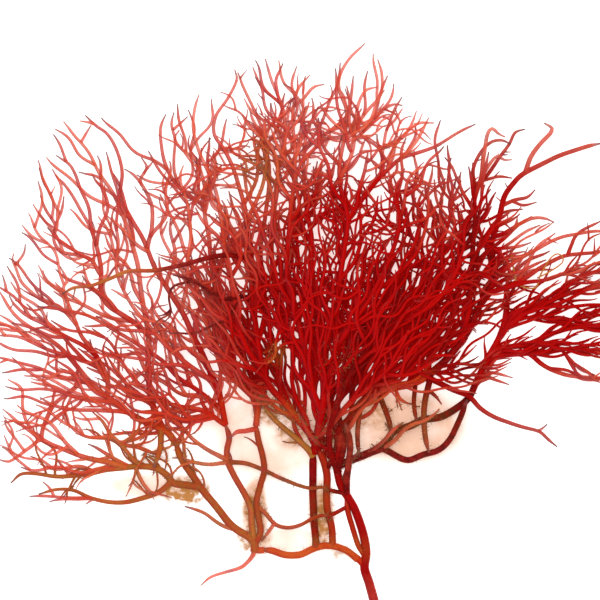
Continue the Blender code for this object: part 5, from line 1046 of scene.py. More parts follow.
    def branch_out(self, budget):
        """Grow side branches order by order until each frond has its triangles."""
        spent = {frond: sum(b.triangles() for b in self.branches if b.frond == frond)
                 for frond in self.fronds}
        for habit in HABITS:
            spots = []
            for parent in self.branches:
                if parent.name in BARE or parent.level >= habit.level:
                    continue
                if habit.level == 2 and parent.level == 0:
                    continue
                reach = float(parent.length[-1])
                distance = reach * habit.bare + self.random.uniform(1.0, habit.spacing[0])
                while distance < reach - self.BARE_END:
                    spots.append((parent, distance))
                    distance += self.random.uniform(*habit.spacing)
            spots = [spot for spot in spots if self.wanted(spot)]
            turn = {spot: self.random.random() - zone_strength(spot[0].at(spot[1])[0], FULL_ZONES)
                    for spot in spots}
            spots.sort(key=turn.get)
            for parent, distance in spots:
                if spent[parent.frond] > habit.share * budget[parent.frond]:
                    continue
                side = either_side(self.random)
                for turned in (side, -side):
                    branch = self.shoot(parent, distance, turned, habit)
                    if branch is not None and self.spacing_ok(branch):
                        self.add(branch)
                        spent[parent.frond] += branch.triangles()
                        break


class Wires:
    """Centre lines of many branches, with what each point of them says about size and colour."""

    CHANNELS = ("radius", "flesh", "dark", "silt", "bright", "tip", "tone")

    def __init__(self):
        self.points = []
        self.edges = []
        self.values = {channel: [] for channel in self.CHANNELS}
        self.count = 0

    def add(self, points, **values):
        """Take in one line; a value holds for all its points or is a list of one for each."""
        number = len(points)
        self.points.append(points)
        self.edges.append(self.count + np.column_stack([np.arange(number - 1), np.arange(1, number)]))
        for channel in self.CHANNELS:
            self.values[channel].append(np.broadcast_to(values.get(channel, 0.0), number))
        self.count += number

    def item(self, name):
        """The lines as an object of loose edges, in metres, with one attribute for each channel."""
        points = np.vstack(self.points)
        place = np.column_stack(in_frame(*points.T))
        mesh = bpy.data.meshes.new(name)
        mesh.from_pydata(place.tolist(), np.vstack(self.edges).tolist(), [])
        for channel in self.CHANNELS:
            layer = mesh.attributes.new(channel, "FLOAT", "POINT")
            values = np.concatenate(self.values[channel]) * (MM if channel == "radius" else 1.0)
            layer.data.foreach_set("value", values.astype(np.float32))
        item = bpy.data.objects.new(name, mesh)
        bpy.context.scene.collection.objects.link(item)
        return item


def patchwork(points, zones):
    """How strongly the zones cover each plan point, from 0 to 1."""
    cover = np.zeros(len(points))
    for zone in zones:
        cover = np.maximum(cover, zone.strength * ease(PATCH_REACH - apart_from(points, zone)))
    return cover


class Lines:
    """The routes of all branches at their full fineness, and the extra branchlets between them."""

    # Wavelengths of the natural wave, two on the plan and one upright, the length over which it starts,
    # and the length over which a root is drawn to its parent.
    WAVES = (2.1, 4.3, 3.2)
    WAVE_START = 5.0
    ROOT_PULL = 4.0
    # Steps of a branchlet, the wavelength of its swing, and the spread of its swing and its thickness.
    PATH_STEP = 1.4
    WAVELENGTH = (1.8, 3.4)
    SWING_SPREAD = (0.4, 1.3)
    RADIUS_SPREAD = (0.8, 1.15)
    # How far its layer may lie from its parent's, and how slowly it leaves its parent's height.
    LAYER_SPREAD = 0.4
    RISE_SLOPE = 2.4
    # Forks: shortest branchlet with one, where it starts, its angle in degrees and its length.
    FORKED_LENGTH = 5.0
    FORK_PLACE = (0.45, 0.85)
    FORK_ANGLE = (24.0, 46.0)
    FORK_LENGTH = (4.0, 11.0)

    def __init__(self):
        self.plant = Plant()
        for axis in AXES:
            self.plant.place_axis(axis)
        self.plant.branch_out(TRIANGLES)
        self.random = np.random.default_rng(LACE_SEED)
        self.routes = {}
        for branch in self.plant.branches:
            self.routes[branch.name] = self.route(branch)
        self.laces = [self.route_of_lace(*lace) for lace in self.grow_lace()]
        self.joins = [self.route_of_join(join) for join in JOINS]

    def finish_route(self, points, radii, wave, root_at=None):
        """The points with a slight natural wave, the root on its parent, between floor and top."""
        length = arc_length(points)
        heading = np.gradient(points[:, :2], axis=0)
        heading /= np.maximum(np.linalg.norm(heading, axis=1), 1e-9)[:, None]
        phase = self.random.uniform(0.0, 2.0 * math.pi, 3)
        short, long, upright = self.WAVES
        sway = wave * (np.sin(length / short + phase[0]) * 0.5 + np.sin(length / long + phase[1]))
        started = ease(length / self.WAVE_START)
        sway *= started
        points = points.copy()
        points[:, 0] -= heading[:, 1] * sway
        points[:, 1] += heading[:, 0] * sway
        points[:, 2] += 0.5 * wave * np.sin(length / upright + phase[2]) * started
        if root_at is not None:
            pull = np.clip(1.0 - length / self.ROOT_PULL, 0.0, 1.0) ** 2
            points += pull[:, None] * (root_at - points[0])
        points[:, 2] = np.clip(points[:, 2], FLOOR_SINK * radii, TOP_HEIGHT - radii)
        return points

    def route(self, branch):
        """The fine route of one branch that is in the solids too."""
        coarse = branch.length / branch.length[-1]
        run = follow(branch.fine)
        plan = space_out(run[:, :2], count_steps(run, STEP, 3))
        share = np.linspace(0.0, 1.0, len(plan))
        rise = follow(np.column_stack([coarse, branch.rings[:, 2]]))
        height = np.interp(share, rise[:, 0], rise[:, 1])
        radii = np.interp(share, coarse, branch.radii)
        root_at = None
        if branch.parent is not None and branch.parent.name in self.routes:
            line = self.routes[branch.parent.name][0]
            near = np.argmin(np.hypot(line[:, 0] - plan[0, 0], line[:, 1] - plan[0, 1]))
            root_at = line[near]
        wave = 0.0 if len(branch.rings) < 3 else BRANCH_WAVE
        points = self.finish_route(np.column_stack([plan, height]), radii, wave, root_at)
        return points, radii, float(self.random.uniform()), branch

    def route_of_lace(self, plan, height, radii, root_at, parent):
        """The fine route of one extra branchlet."""
        points = self.finish_route(np.column_stack([plan, height]), radii, LACE_WAVE, root_at)
        return points, radii, float(self.random.uniform()), parent

    def route_of_join(self, join):
        """The fine route of one strand that closes a gap."""
        points = smooth(join.points, STEP)
        return points, np.linspace(join.base, join.tip, len(points)), 0.5, join

    def grow_lace(self):
        """Branchlets that start on the fronds and run outwards between the thicker branches."""
        grown = []
        for lace in LACES:
            starts = []
            for branch in self.plant.branches:
                line = self.routes[branch.name][0]
                if (branch.name in BARE and not lace.bare) or len(line) < 6:
                    continue
                inside = apart_from(line, lace) < 1.0
                inside[:2] = False
                inside[-2:] = False
                starts += [(branch, index) for index in np.nonzero(inside)[0]]
            if not starts:
                continue
            for pick in self.random.choice(len(starts), size=lace.count, replace=False):
                branch, index = starts[int(pick)]
                grown += self.lace_branch(branch, index, lace)
        return grown

    def lace_branch(self, branch, index, lace):
        """One branchlet from a point of a branch, with its forks, or nothing where it would leave."""
        line, radii_line = self.routes[branch.name][0], self.routes[branch.name][1]
        root = line[index]
        before, after = line[max(index - 1, 0)], line[min(index + 1, len(line) - 1)]
        heading = math.atan2(after[1] - before[1], after[0] - before[0])
        heading += either_side(self.random) * math.radians(self.random.uniform(*lace.angle))
        path = self.wander(root[:2], heading, self.random.uniform(*lace.length), lace)
        if path is None:
            return []
        start = min(lace.radius * self.random.uniform(*self.RADIUS_SPREAD), float(radii_line[index]))
        return self.settle(path, root, start, branch, lace)

    def wander(self, start, heading, length, lace):
        """Plan path that starts along the heading, swings to and fro and slowly turns outwards."""
        steps = max(int(length / self.PATH_STEP), 3)
        phase, wavelength = self.random.uniform(0.0, 2.0 * math.pi), self.random.uniform(*self.WAVELENGTH)
        bend = math.radians(lace.swing * self.random.uniform(*self.SWING_SPREAD))
        point, path = np.array(start), [np.array(start)]
        for step in range(steps):
            along = (step + 1) / steps * length
            heading += lace.pull * turn_between(heading, spread_angle(point))
            heading += bend * math.cos(along / wavelength + phase)
            point = point + length / steps * np.array([math.cos(heading), math.sin(heading)])
            path.append(point)
        path = np.array(path)
        inside = inside_outline(path[1:])
        if not inside.all():
            keep = int(np.argmin(inside)) + 1
            if keep < 4:
                return None
            path = path[:keep]
        return path

    def settle(self, path, root, start, parent, lace, forks=2):
        """Heights and radii for a plan path, with its forks."""
        fine = smooth(path, LACE_STEP)
        length = arc_length(fine)
        radii = np.linspace(max(start, LACE_TIP), LACE_TIP, len(fine))
        top = heap_top(fine)
        shift = self.random.uniform(-self.LAYER_SPREAD, self.LAYER_SPREAD)
        layer = float(np.clip(parent.layer + shift, 0.0, 1.0))
        settled = FLOOR_SINK * radii + layer * np.maximum(top - FLOOR_SINK * radii - radii, 0.0)
        height = leave_height(root[2], settled, length, 3, self.RISE_SLOPE)
        made = [(fine, height, radii, root, parent)]
        for _ in range(forks):
            if length[-1] < self.FORKED_LENGTH or self.random.random() > lace.fork:
                continue
            index = int(len(fine) * self.random.uniform(*self.FORK_PLACE))
            index = min(max(index, 2), len(fine) - 2)
            step = fine[index] - fine[index - 1]
            heading = math.atan2(step[1], step[0])
            heading += either_side(self.random) * math.radians(self.random.uniform(*self.FORK_ANGLE))
            twig = self.wander(fine[index], heading, self.random.uniform(*self.FORK_LENGTH), lace)
            if twig is None:
                continue
            joint = np.array([fine[index][0], fine[index][1], height[index]])
            made += self.settle(twig, joint, float(radii[index]), parent, lace, 0)
        return made


@functools.lru_cache(maxsize=1)
def lines():
    """All lines of the plant, made once."""
    return Lines()


def cells_of(points):
    """Row and column of the cell that each plan point lies in."""
    return tuple(np.clip(((points[:, axis] - CELLS_FROM[axis]) / CELL).astype(int), 0, CELLS[axis] - 1)
                 for axis in range(2))


@functools.lru_cache(maxsize=1)
def crowd_map():
    """How thickly the branches lie over each cell of the plan, mostly from 0 to 1."""
    counts = np.zeros(CELLS)
    for points, radii, _, _ in list(lines().routes.values()) + lines().laces:
        np.add.at(counts, cells_of(points), 2.0 * radii)
    for _ in range(CELL_SMOOTHINGS):
        padded = np.pad(counts, 1, mode="edge")
        counts = (padded[:-2, 1:-1] + padded[2:, 1:-1] + padded[1:-1, :-2] + padded[1:-1, 2:]
                  + 2.0 * padded[1:-1, 1:-1]) / 6.0
    return counts / np.percentile(counts[counts > 0], CROWDED_PERCENTILE)


def draw_to_tip(points, radii):
    """The same line with a slightly swollen root and a slim, rounded end."""
    length = arc_length(points)
    left = length[-1] - length
    radii = radii * (TIP_SLIM + (1.0 - TIP_SLIM) * ease(left / TIP_TAPER))
    radii = radii * (1.0 + ROOT_SWELLING * np.exp(-length / ROOT_REACH))
    step = points[-1] - points[-2]
    step /= max(float(np.linalg.norm(step)), 1e-9)
    reach = float(radii[-1])
    cap = [points[-1] + step * reach * ahead for ahead, _ in TIP_CAP]
    cap_radii = [reach * share for _, share in TIP_CAP]
    return np.vstack([points, cap]), np.concatenate([radii, cap_radii])


def add_route(wires, points, radii, tone, name, tip=True):
    """Add one route with what colours it: its zones, its own name, its thickness and its tone."""
    if tip:
        points, radii = draw_to_tip(points, radii)
    length = arc_length(points)
    left = length[-1] - length
    # Painted shade: the red deepens where branches lie over each other, as less light comes through many
    # layers.
    crowd_shade = np.clip(crowd_map()[cells_of(points)], 0.0, 1.0)
    thick = np.clip((radii - THIN_RADIUS) / THICKENING, 0.0, 1.0)
    causes = (patchwork(points, CORE_ZONES), crowd_shade, thick, tone - MIDDLE_TONE)
    flesh = np.clip(sum(share * cause for share, cause in zip(FLESH_SHARES, causes)), 0.0, 1.0)
    dark = np.maximum(patchwork(points, DARK_ZONES) * (0.45 + 0.55 * tone), DARK_BRANCHES.get(name, 0.0))
    silt = np.maximum(patchwork(points, SILT_ZONES) * (0.35 + 0.65 * (1.0 - tone)),
                      SILT_BRANCHES.get(name, 0.0))
    bright = np.maximum(patchwork(points, WARM_ZONES), BRIGHT_BRANCHES.get(name, 0.0))
    # Three branches change their colour on the way.
    if name == "right_main":
        orange = fade(points[:, 0], 119.0, 7.0) * fade(points[:, 0], 147.0, -8.0)
        bright, dark = bright * orange, np.maximum(0.6 * (1.0 - orange), 0.4 * dark)
    if name == "dark_arm":
        dark = dark * (1.0 - fade(points[:, 1], 68.0, 8.0))
    if name == "old_cross":
        dark, silt = dark * fade(points[:, 0], 44.0, 14.0), silt * fade(points[:, 0], 58.0, -16.0)
    wires.add(points, radius=radii, flesh=flesh, dark=dark, silt=silt, bright=bright, tone=tone,
              tip=ease(1.0 - left / TIP_TINT) if tip else 0.0)


class Wire:
    """One socket of a node tree. Arithmetic on it adds the Math nodes."""

    def __init__(self, graph, socket):
        self.graph = graph
        self.socket = socket

    def maths(self, operation, *values, clamp=False):
        """One Math node on the values."""
        node = self.graph.node("ShaderNodeMath", {"operation": operation, "use_clamp": clamp},
                               dict(enumerate(values)))
        return Wire(self.graph, node.outputs[0])

    def __add__(self, other):
        return self.maths("ADD", self, other)

    def __radd__(self, other):
        return self.maths("ADD", other, self)

    def __sub__(self, other):
        return self.maths("SUBTRACT", self, other)

    def __rsub__(self, other):
        return self.maths("SUBTRACT", other, self)

    def __mul__(self, other):
        return self.maths("MULTIPLY", self, other)

    def __rmul__(self, other):
        return self.maths("MULTIPLY", other, self)

    def __pow__(self, other):
        return self.maths("POWER", self, other)

    def held(self):
        """The value held between 0 and 1."""
        return self.maths("ADD", self, 0.0, clamp=True)

    def above(self, level, slope):
        """0 up to the level, then rising with the slope, held at 1."""
        return ((self - level) * slope).held()


class Graph:
    """Builds one node tree."""

    def __init__(self, tree):
        self.tree = tree

    def node(self, kind, settings=None, inputs=None):
        node = self.tree.nodes.new(kind)
        for name, value in (settings or {}).items():
            setattr(node, name, value)
        for key, value in (inputs or {}).items():
            if isinstance(value, Wire):
                self.tree.links.new(value.socket, node.inputs[key])
            else:
                node.inputs[key].default_value = value
        return node

    def wire(self, kind, settings=None, inputs=None, output=0):
        return Wire(self, self.node(kind, settings, inputs).outputs[output])

    def blend(self, first, second, factor):
        """Two colours mixed; each is a colour or a wire."""
        first = first if isinstance(first, Wire) else (*first[:3], 1.0)
        second = second if isinstance(second, Wire) else (*second[:3], 1.0)
        return self.wire("ShaderNodeMix", {"data_type": "RGBA", "blend_type": "MIX"},
                         {0: factor, 6: first, 7: second}, output=2)


# What all surfaces share.
NOISE_ROUGHNESS = 0.55
BUMP_STRENGTH = 0.6


def attribute(graph, name):
    """A channel of the lines, as a shader reads it."""
    return graph.wire("ShaderNodeAttribute", {"attribute_name": name}, output="Fac")


def noise(graph, scale, detail):
    """Noise on object coordinates; scale counts waves per metre."""
    place = graph.wire("ShaderNodeTexCoord", output="Object")
    return graph.wire("ShaderNodeTexNoise", inputs={"Vector": place, "Scale": scale, "Detail": detail,
                                                    "Roughness": NOISE_ROUGHNESS})


def finish_shader(graph, colour, roughness, bump, distance, more):
    """A shader with its output: bump goes in metres of relief, and more goes on sockets by their names."""
    relief = graph.wire("ShaderNodeBump", inputs={"Height": bump, "Distance": distance,
                                                  "Strength": BUMP_STRENGTH})
    inputs = {"Base Color": colour, "Roughness": roughness, "Normal": relief, **more}
    shader = graph.wire("ShaderNodeBsdfPrincipled", {"subsurface_method": "RANDOM_WALK"}, inputs)
    graph.node("ShaderNodeOutputMaterial", inputs={"Surface": shader})


def blank_material(name):
    """A new material with an empty node tree."""
    material = bpy.data.materials.new(name)
    material.use_nodes = True
    material.node_tree.nodes.clear()
    return material, Graph(material.node_tree)


# How much light thin and thick tissue stops, how far it spreads inside, and how strongly it glows: painted
# light, an emission in the tissue's own colour that fills its shade as if it were lit from behind.
Clear = namedtuple("Clear", "thin thick spread glow")
TISSUE = Clear(thin=0.66, thick=0.995, spread=0.3, glow=0.28)


def tissue(name, tints):
    """Wet red tissue: pale and thin at the rim, crimson where it lies thick, dark and silted when old, with
    painted shade on its flanks and where branches crowd, and a painted glow.
    """
    material, graph = blank_material(name)
    flesh, dark, silt, bright, tip, tone, painted_flank_shade = (
        attribute(graph, channel)
        for channel in ("flesh", "dark", "silt", "bright", "tip", "tone", "painted_flank_shade"))
    broad = noise(graph, 60.0, detail=2.0)
    mottle = noise(graph, 420.0, detail=3.0)
    speck = noise(graph, 1500.0, detail=2.0)
    rim = graph.blend(tints.coral, tints.rose, (tone * 1.3 - 0.2 + (broad - 0.5) * 1.2).held())
    warm = graph.blend(rim, tints.ember, ((broad - 0.42) * 3.2 * (1.0 - tip)).held() * 0.75)
    depth = (flesh * 1.15 + (mottle - 0.5) * 0.35).held()
    red = graph.blend(warm, tints.crimson, depth)
    red = graph.blend(red, tints.orange, (bright * (0.35 + (mottle - 0.3) * 1.6)).held())
    old = graph.blend(red, tints.maroon, (dark * (0.8 + (mottle - 0.5) * 1.3)).held())
    caked = (silt * 1.25 + (mottle - 0.56) * 2.6 * silt + (speck - 0.5) * 0.8 * silt).held()
    muddy = graph.blend(tints.ochre, tints.olive, broad.above(0.4, 3.0))
    dirty = graph.blend(old, muddy, caked * 0.85)
    # Painted shade: violet, then maroon, on the flanks that face the shaded side, set by the surface's
    # direction.
    edged = graph.blend(dirty, tints.violet, (painted_flank_shade * (0.9 - 0.7 * depth - 0.5 * dark)).held())
    edged = graph.blend(edged, tints.maroon, painted_flank_shade * (0.22 + 0.26 * depth))
    bruise = noise(graph, 95.0, detail=2.0).above(0.57, 7.0) * (1.0 - depth)
    edged = graph.blend(edged, tints.bruise, bruise * (0.3 + 0.35 * tone))
    ended = graph.blend(edged, tints.ash, (tip * (0.3 + 0.9 * tone) * (1.0 - 0.7 * depth)).held())
    alpha = (TISSUE.thin + (TISSUE.thick - TISSUE.thin) * (depth + dark + silt * 0.6).held()).held()
    roughness = 0.42 + (mottle - 0.5) * 0.25 + caked * 0.3
    # The emission is painted light: the tissue glows in its own colour, which fills in its shade.
    finish_shader(graph, ended, roughness, bump=mottle * 0.6 + speck * 0.4, distance=0.00012, more={
        "Alpha": alpha, "Subsurface Weight": TISSUE.spread, "Subsurface Radius": (1.0, 0.2, 0.15),
        "Subsurface Scale": sizes().glow_depth, "Specular IOR Level": 0.02,
        "Emission Color": ended, "Emission Strength": TISSUE.glow})
    return material


def hair_finish(name, tints):
    """Dull brown green threads."""
    material, graph = blank_material(name)
    tone, reach = attribute(graph, "tone"), attribute(graph, "reach")
    patch = noise(graph, 90.0, detail=2.0)
    fine = noise(graph, 900.0, detail=2.0)
    colour = graph.blend(tints.fuzz, tints.moss, patch.above(0.42, 4.0))
    colour = graph.blend(colour, tints.straw, (tone * 0.5 + reach * 0.3 + (fine - 0.5) * 0.8).held())
    finish_shader(graph, colour, 0.7 + (fine - 0.5) * 0.3, bump=fine, distance=0.00003,
                  more={"Specular IOR Level": 0.2, "Sheen Weight": 0.1})
    return material


def crumb_finish(name, tints):
    """Dry looking ochre silt."""
    material, graph = blank_material(name)
    patch = noise(graph, 140.0, detail=2.0)
    fine = noise(graph, 1800.0, detail=3.0)
    colour = graph.blend(tints.ochre, tints.olive, patch.above(0.4, 3.0))
    colour = graph.blend(colour, tints.straw, fine.above(0.45, 2.4))
    finish_shader(graph, colour, 0.75 + (fine - 0.5) * 0.3, bump=fine, distance=0.00004,
                  more={"Specular IOR Level": 0.2})
    return material


def disc_finish(name, tints):
    """Matt brown red tissue of the disc with silt in its hollows."""
    material, graph = blank_material(name)
    broad = noise(graph, 220.0, detail=3.0)
    fine = noise(graph, 1300.0, detail=4.0)
    colour = graph.blend(tints.disc, tints.maroon, broad.above(0.4, 3.0))
    colour = graph.blend(colour, tints.ochre, ((fine - 0.55) * 3.0 + (broad - 0.5)).held() * 0.7)
    finish_shader(graph, colour, 0.6 + (fine - 0.5) * 0.4, bump=fine * 0.6 + broad * 0.4, distance=0.0003,
                  more={"Subsurface Weight": 0.15, "Subsurface Radius": (1.0, 0.3, 0.2),
                        "Subsurface Scale": 0.0008, "Specular IOR Level": 0.3})
    return material


def start_tree(name, inputs):
    """An empty geometry tree with the given named inputs and one geometry output."""
    tree = bpy.data.node_groups.new(name, "GeometryNodeTree")
    tree.interface.new_socket("Lines", in_out="INPUT", socket_type="NodeSocketGeometry")
    for label, kind, value in inputs:
        socket = tree.interface.new_socket(label, in_out="INPUT", socket_type=kind)
        if value is not None:
            socket.default_value = value
    tree.interface.new_socket("Mesh", in_out="OUTPUT", socket_type="NodeSocketGeometry")
    graph = Graph(tree)
    entry = graph.node("NodeGroupInput")
    return tree, graph, {socket.name: Wire(graph, socket) for socket in entry.outputs if socket.name}


def stored(graph, name):
    """A channel of the lines, as a geometry tree reads it."""
    return graph.wire("GeometryNodeInputNamedAttribute", {"data_type": "FLOAT"}, {"Name": name})


def store(graph, geometry, name, value):
    """The geometry with one more channel."""
    return graph.wire("GeometryNodeStoreNamedAttribute", {"data_type": "FLOAT", "domain": "POINT"},
                      {"Geometry": geometry, "Name": name, "Value": value})


def vector_maths(graph, operation, *values, output=0):
    """One Vector Math node on the values."""
    node = graph.node("ShaderNodeVectorMath", {"operation": operation}, dict(enumerate(values)))
    return Wire(graph, node.outputs[output])


def scaled(graph, vector, amount):
    """The vector times a number or a wire."""
    node = graph.node("ShaderNodeVectorMath", {"operation": "SCALE"}, {0: vector, "Scale": amount})
    return Wire(graph, node.outputs[0])


def moved(graph, geometry, **where):
    """The geometry with its points moved by an Offset or to a Position."""
    return graph.wire("GeometryNodeSetPosition", inputs={"Geometry": geometry, **where})


def wandering(graph, place, scale, detail):
    """A vector that changes smoothly from place to place, nothing on average."""
    field = graph.wire("ShaderNodeTexNoise", inputs={"Vector": place, "Scale": scale, "Detail": detail},
                       output="Color")
    return vector_maths(graph, "SUBTRACT", field, (0.5, 0.5, 0.5))


def random_vector(graph, low, high, seed):
    """A vector between the two, drawn for each point."""
    return graph.wire("FunctionNodeRandomValue", {"data_type": "FLOAT_VECTOR"},
                      {0: low, 1: high, "Seed": seed}, output=0)


def carrying_points(graph, given):
    """Points at even distances along the lines, and which of them by chance carry something."""
    curve = graph.wire("GeometryNodeMeshToCurve", inputs={"Mesh": given["Lines"]})
    curve = graph.wire("GeometryNodeResampleCurve", {"mode": "LENGTH"},
                       {"Curve": curve, "Length": given["Spacing"]})
    chosen = graph.wire("FunctionNodeRandomValue", {"data_type": "BOOLEAN"},
                        {"Probability": stored(graph, "silt"), "Seed": given["Seed"]}, output=3)
    return curve, chosen


def planted(graph, points, chosen, instance, rotation, scale):
    """A copy of the instance on each chosen point."""
    copies = graph.wire("GeometryNodeInstanceOnPoints", inputs={
        "Points": points, "Selection": chosen, "Instance": instance, "Rotation": rotation, "Scale": scale})
    return graph.wire("GeometryNodeRealizeInstances", inputs={"Geometry": copies})


def swept(graph, curve, radius, sides):
    """Round tube along the curve, closed at both ends."""
    profile = graph.wire("GeometryNodeCurvePrimitiveCircle", {"mode": "RADIUS"},
                         {"Resolution": sides, "Radius": 1.0})
    curve = graph.wire("GeometryNodeSetCurveRadius", inputs={"Curve": curve, "Radius": radius})
    settings = {"Curve": curve, "Profile Curve": profile, "Fill Caps": True}
    # Where the tube has an input of its own for its thickness, that input takes the radius.
    probe = graph.node("GeometryNodeCurveToMesh")
    if "Scale" in probe.inputs:
        settings["Scale"] = stored(graph, "radius")
    graph.tree.nodes.remove(probe)
    return graph.wire("GeometryNodeCurveToMesh", inputs=settings)


def above_floor(graph, geometry):
    """The geometry with nothing left below the surface that the plant lies on."""
    place = graph.wire("GeometryNodeInputPosition")
    kept = vector_maths(graph, "MAXIMUM", place, (-1.0, -1.0, FLOOR_CLEARANCE * MM))
    return moved(graph, geometry, Position=kept)


def finish_tree(graph, geometry, skin):
    """Realised and given its material, as the last two steps."""
    geometry = graph.wire("GeometryNodeSetShadeSmooth", inputs={"Geometry": geometry, "Shade Smooth": True})
    geometry = graph.wire("GeometryNodeRealizeInstances", inputs={"Geometry": geometry})
    geometry = graph.wire("GeometryNodeSetMaterial", inputs={"Geometry": geometry, "Material": skin})
    graph.node("NodeGroupOutput", inputs={0: geometry})


# The side of a branch that takes painted shade in violet and maroon, and how fast that painted shade sets
# in.
SHADED_SIDE = (-0.8, -0.5, 0.0)
FLANK_SHADE_POWER = 1.4


@functools.lru_cache(maxsize=1)
def tube_tree():
    """Branches: a round tube along every line, with a slightly uneven skin."""
    tree, graph, given = start_tree("branch_tubes", (
        ("Sides", "NodeSocketInt", 8), ("Thickness", "NodeSocketFloat", 1.0),
        ("Unevenness", "NodeSocketFloat", 0.1), ("Wave size", "NodeSocketFloat", 400.0),
        ("Skin", "NodeSocketMaterial", None)))
    curve = graph.wire("GeometryNodeMeshToCurve", inputs={"Mesh": given["Lines"]})
    radius = stored(graph, "radius") * given["Thickness"]
    tube = swept(graph, curve, radius, given["Sides"])
    place = graph.wire("GeometryNodeInputPosition")
    normal = graph.wire("GeometryNodeInputNormal")
    ripple = graph.wire("ShaderNodeTexNoise", inputs={"Vector": place, "Scale": given["Wave size"],
                                                      "Detail": 2.0})
    lift = (ripple - 0.5) * 2.0 * given["Unevenness"] * stored(graph, "radius")
    tube = above_floor(graph, moved(graph, tube, Offset=scaled(graph, normal, lift)))
    # Painted shade: how far the skin faces the shaded side, kept as a channel for the tissue's colour.
    facing = vector_maths(graph, "DOT_PRODUCT", normal, SHADED_SIDE, output="Value")
    painted_flank_shade = facing.maths("MAXIMUM", facing, 0.0) ** FLANK_SHADE_POWER
    tube = store(graph, tube, "painted_flank_shade", painted_flank_shade)
    finish_tree(graph, tube, given["Skin"])
    return tree


@functools.lru_cache(maxsize=1)
def hair_tree():
    """Fine hairs along the lines, bent by one slow field, thicker at the root."""
    tree, graph, given = start_tree("fine_hairs", (
        ("Spacing", "NodeSocketFloat", 0.0002), ("Longest", "NodeSocketFloat", 0.003),
        ("Thickness", "NodeSocketFloat", 0.00006), ("Bend", "NodeSocketFloat", 0.003),
        ("Ground", "NodeSocketFloat", 0.0002), ("Ceiling", "NodeSocketFloat", 0.016),
        ("Seed", "NodeSocketInt", 5), ("Skin", "NodeSocketMaterial", None)))
    curve, chosen = carrying_points(graph, given)
    turned = random_vector(graph, *HAIR_TURN, given["Seed"])
    sized = graph.wire("FunctionNodeRandomValue", {"data_type": "FLOAT"},
                       {2: HAIR_SIZE[0], 3: HAIR_SIZE[1], "Seed": given["Seed"]}, output=1)
    hair = graph.wire("GeometryNodeCurvePrimitiveLine", {"mode": "POINTS"},
                      {"Start": (0.0, 0.0, 0.0), "End": (0.0, 0.0, 1.0)})
    hair = graph.wire("GeometryNodeResampleCurve", {"mode": "COUNT"}, {"Curve": hair, "Count": 4})
    factor = graph.wire("GeometryNodeSplineParameter", output="Factor")
    hair = store(graph, hair, "reach", factor)
    length = stored(graph, "radius") + sized * stored(graph, "bright") * given["Longest"]
    hairs = planted(graph, curve, chosen, hair, turned, length)
    place = graph.wire("GeometryNodeInputPosition")
    reach = stored(graph, "reach")
    sway = wandering(graph, place, scale=260.0, detail=1.5)
    hairs = moved(graph, hairs, Offset=scaled(graph, sway, reach * given["Bend"]))
    low = graph.wire("ShaderNodeCombineXYZ", inputs={"X": -1.0, "Y": -1.0, "Z": given["Ground"]})
    high = graph.wire("ShaderNodeCombineXYZ", inputs={"X": 1.0, "Y": 1.0, "Z": given["Ceiling"]})
    kept = vector_maths(graph, "MINIMUM", vector_maths(graph, "MAXIMUM", place, low), high)
    hairs = moved(graph, hairs, Position=kept)
    width = (1.0 - reach * 0.7) * given["Thickness"]
    hairs = store(graph, hairs, "radius", width)
    finish_tree(graph, swept(graph, hairs, width, 3), given["Skin"])
    return tree


@functools.lru_cache(maxsize=1)
def crumb_tree():
    """Small uneven crumbs of silt that sit on the skin along the lines."""
    tree, graph, given = start_tree("silt_crumbs", (
        ("Spacing", "NodeSocketFloat", 0.0003), ("Smallest", "NodeSocketFloat", 0.00008),
        ("Largest", "NodeSocketFloat", 0.00028), ("Seed", "NodeSocketInt", 9),
        ("Skin", "NodeSocketMaterial", None)))
    curve, chosen = carrying_points(graph, given)
    seed = given["Seed"]
    aside = vector_maths(graph, "NORMALIZE", random_vector(graph, *CRUMB_SIDE, seed))
    curve = moved(graph, curve, Offset=scaled(graph, aside, stored(graph, "radius")))
    crumb = graph.wire("GeometryNodeMeshIcoSphere", inputs={"Radius": 1.0, "Subdivisions": 1})
    turned = random_vector(graph, *CRUMB_TURN, seed)
    sized = random_vector(graph, *CRUMB_SIZE, seed)
    crumbs = planted(graph, curve, chosen, crumb, turned, scaled(graph, sized, given["Largest"]))
    sway = wandering(graph, graph.wire("GeometryNodeInputPosition"), scale=3500.0, detail=1.0)
    crumbs = moved(graph, crumbs, Offset=scaled(graph, sway, given["Smallest"]))
    finish_tree(graph, above_floor(graph, crumbs), given["Skin"])
    return tree


def grown(item, tree, values, name):
    """Run a geometry tree on the lines and keep its result as a plain mesh under the given name."""
    modifier = item.modifiers.new(tree.name, "NODES")
    modifier.node_group = tree
    left = dict(values)
    for socket in tree.interface.items_tree:
        if socket.item_type == "SOCKET" and socket.in_out == "INPUT" and socket.name in left:
            modifier[socket.identifier] = left.pop(socket.name)
    if left:
        raise RuntimeError("the tree %s has no input named %s" % (tree.name, sorted(left)))
    item.data.update()
    bpy.context.view_layer.update()
    mesh = bpy.data.meshes.new_from_object(item.evaluated_get(bpy.context.evaluated_depsgraph_get()))
    item.modifiers.remove(modifier)
    spare = item.data
    item.data = mesh
    bpy.data.meshes.remove(spare)
    item.name = name
    mesh.name = name
    if len(mesh.polygons) == 0:
        raise RuntimeError("nothing grew for " + name)
    return item


def metres(name, description, default):
    """A length that a user can set."""
    return bpy.props.FloatProperty(name=name, description=description, default=default, unit="LENGTH",
                                   subtype="DISTANCE")


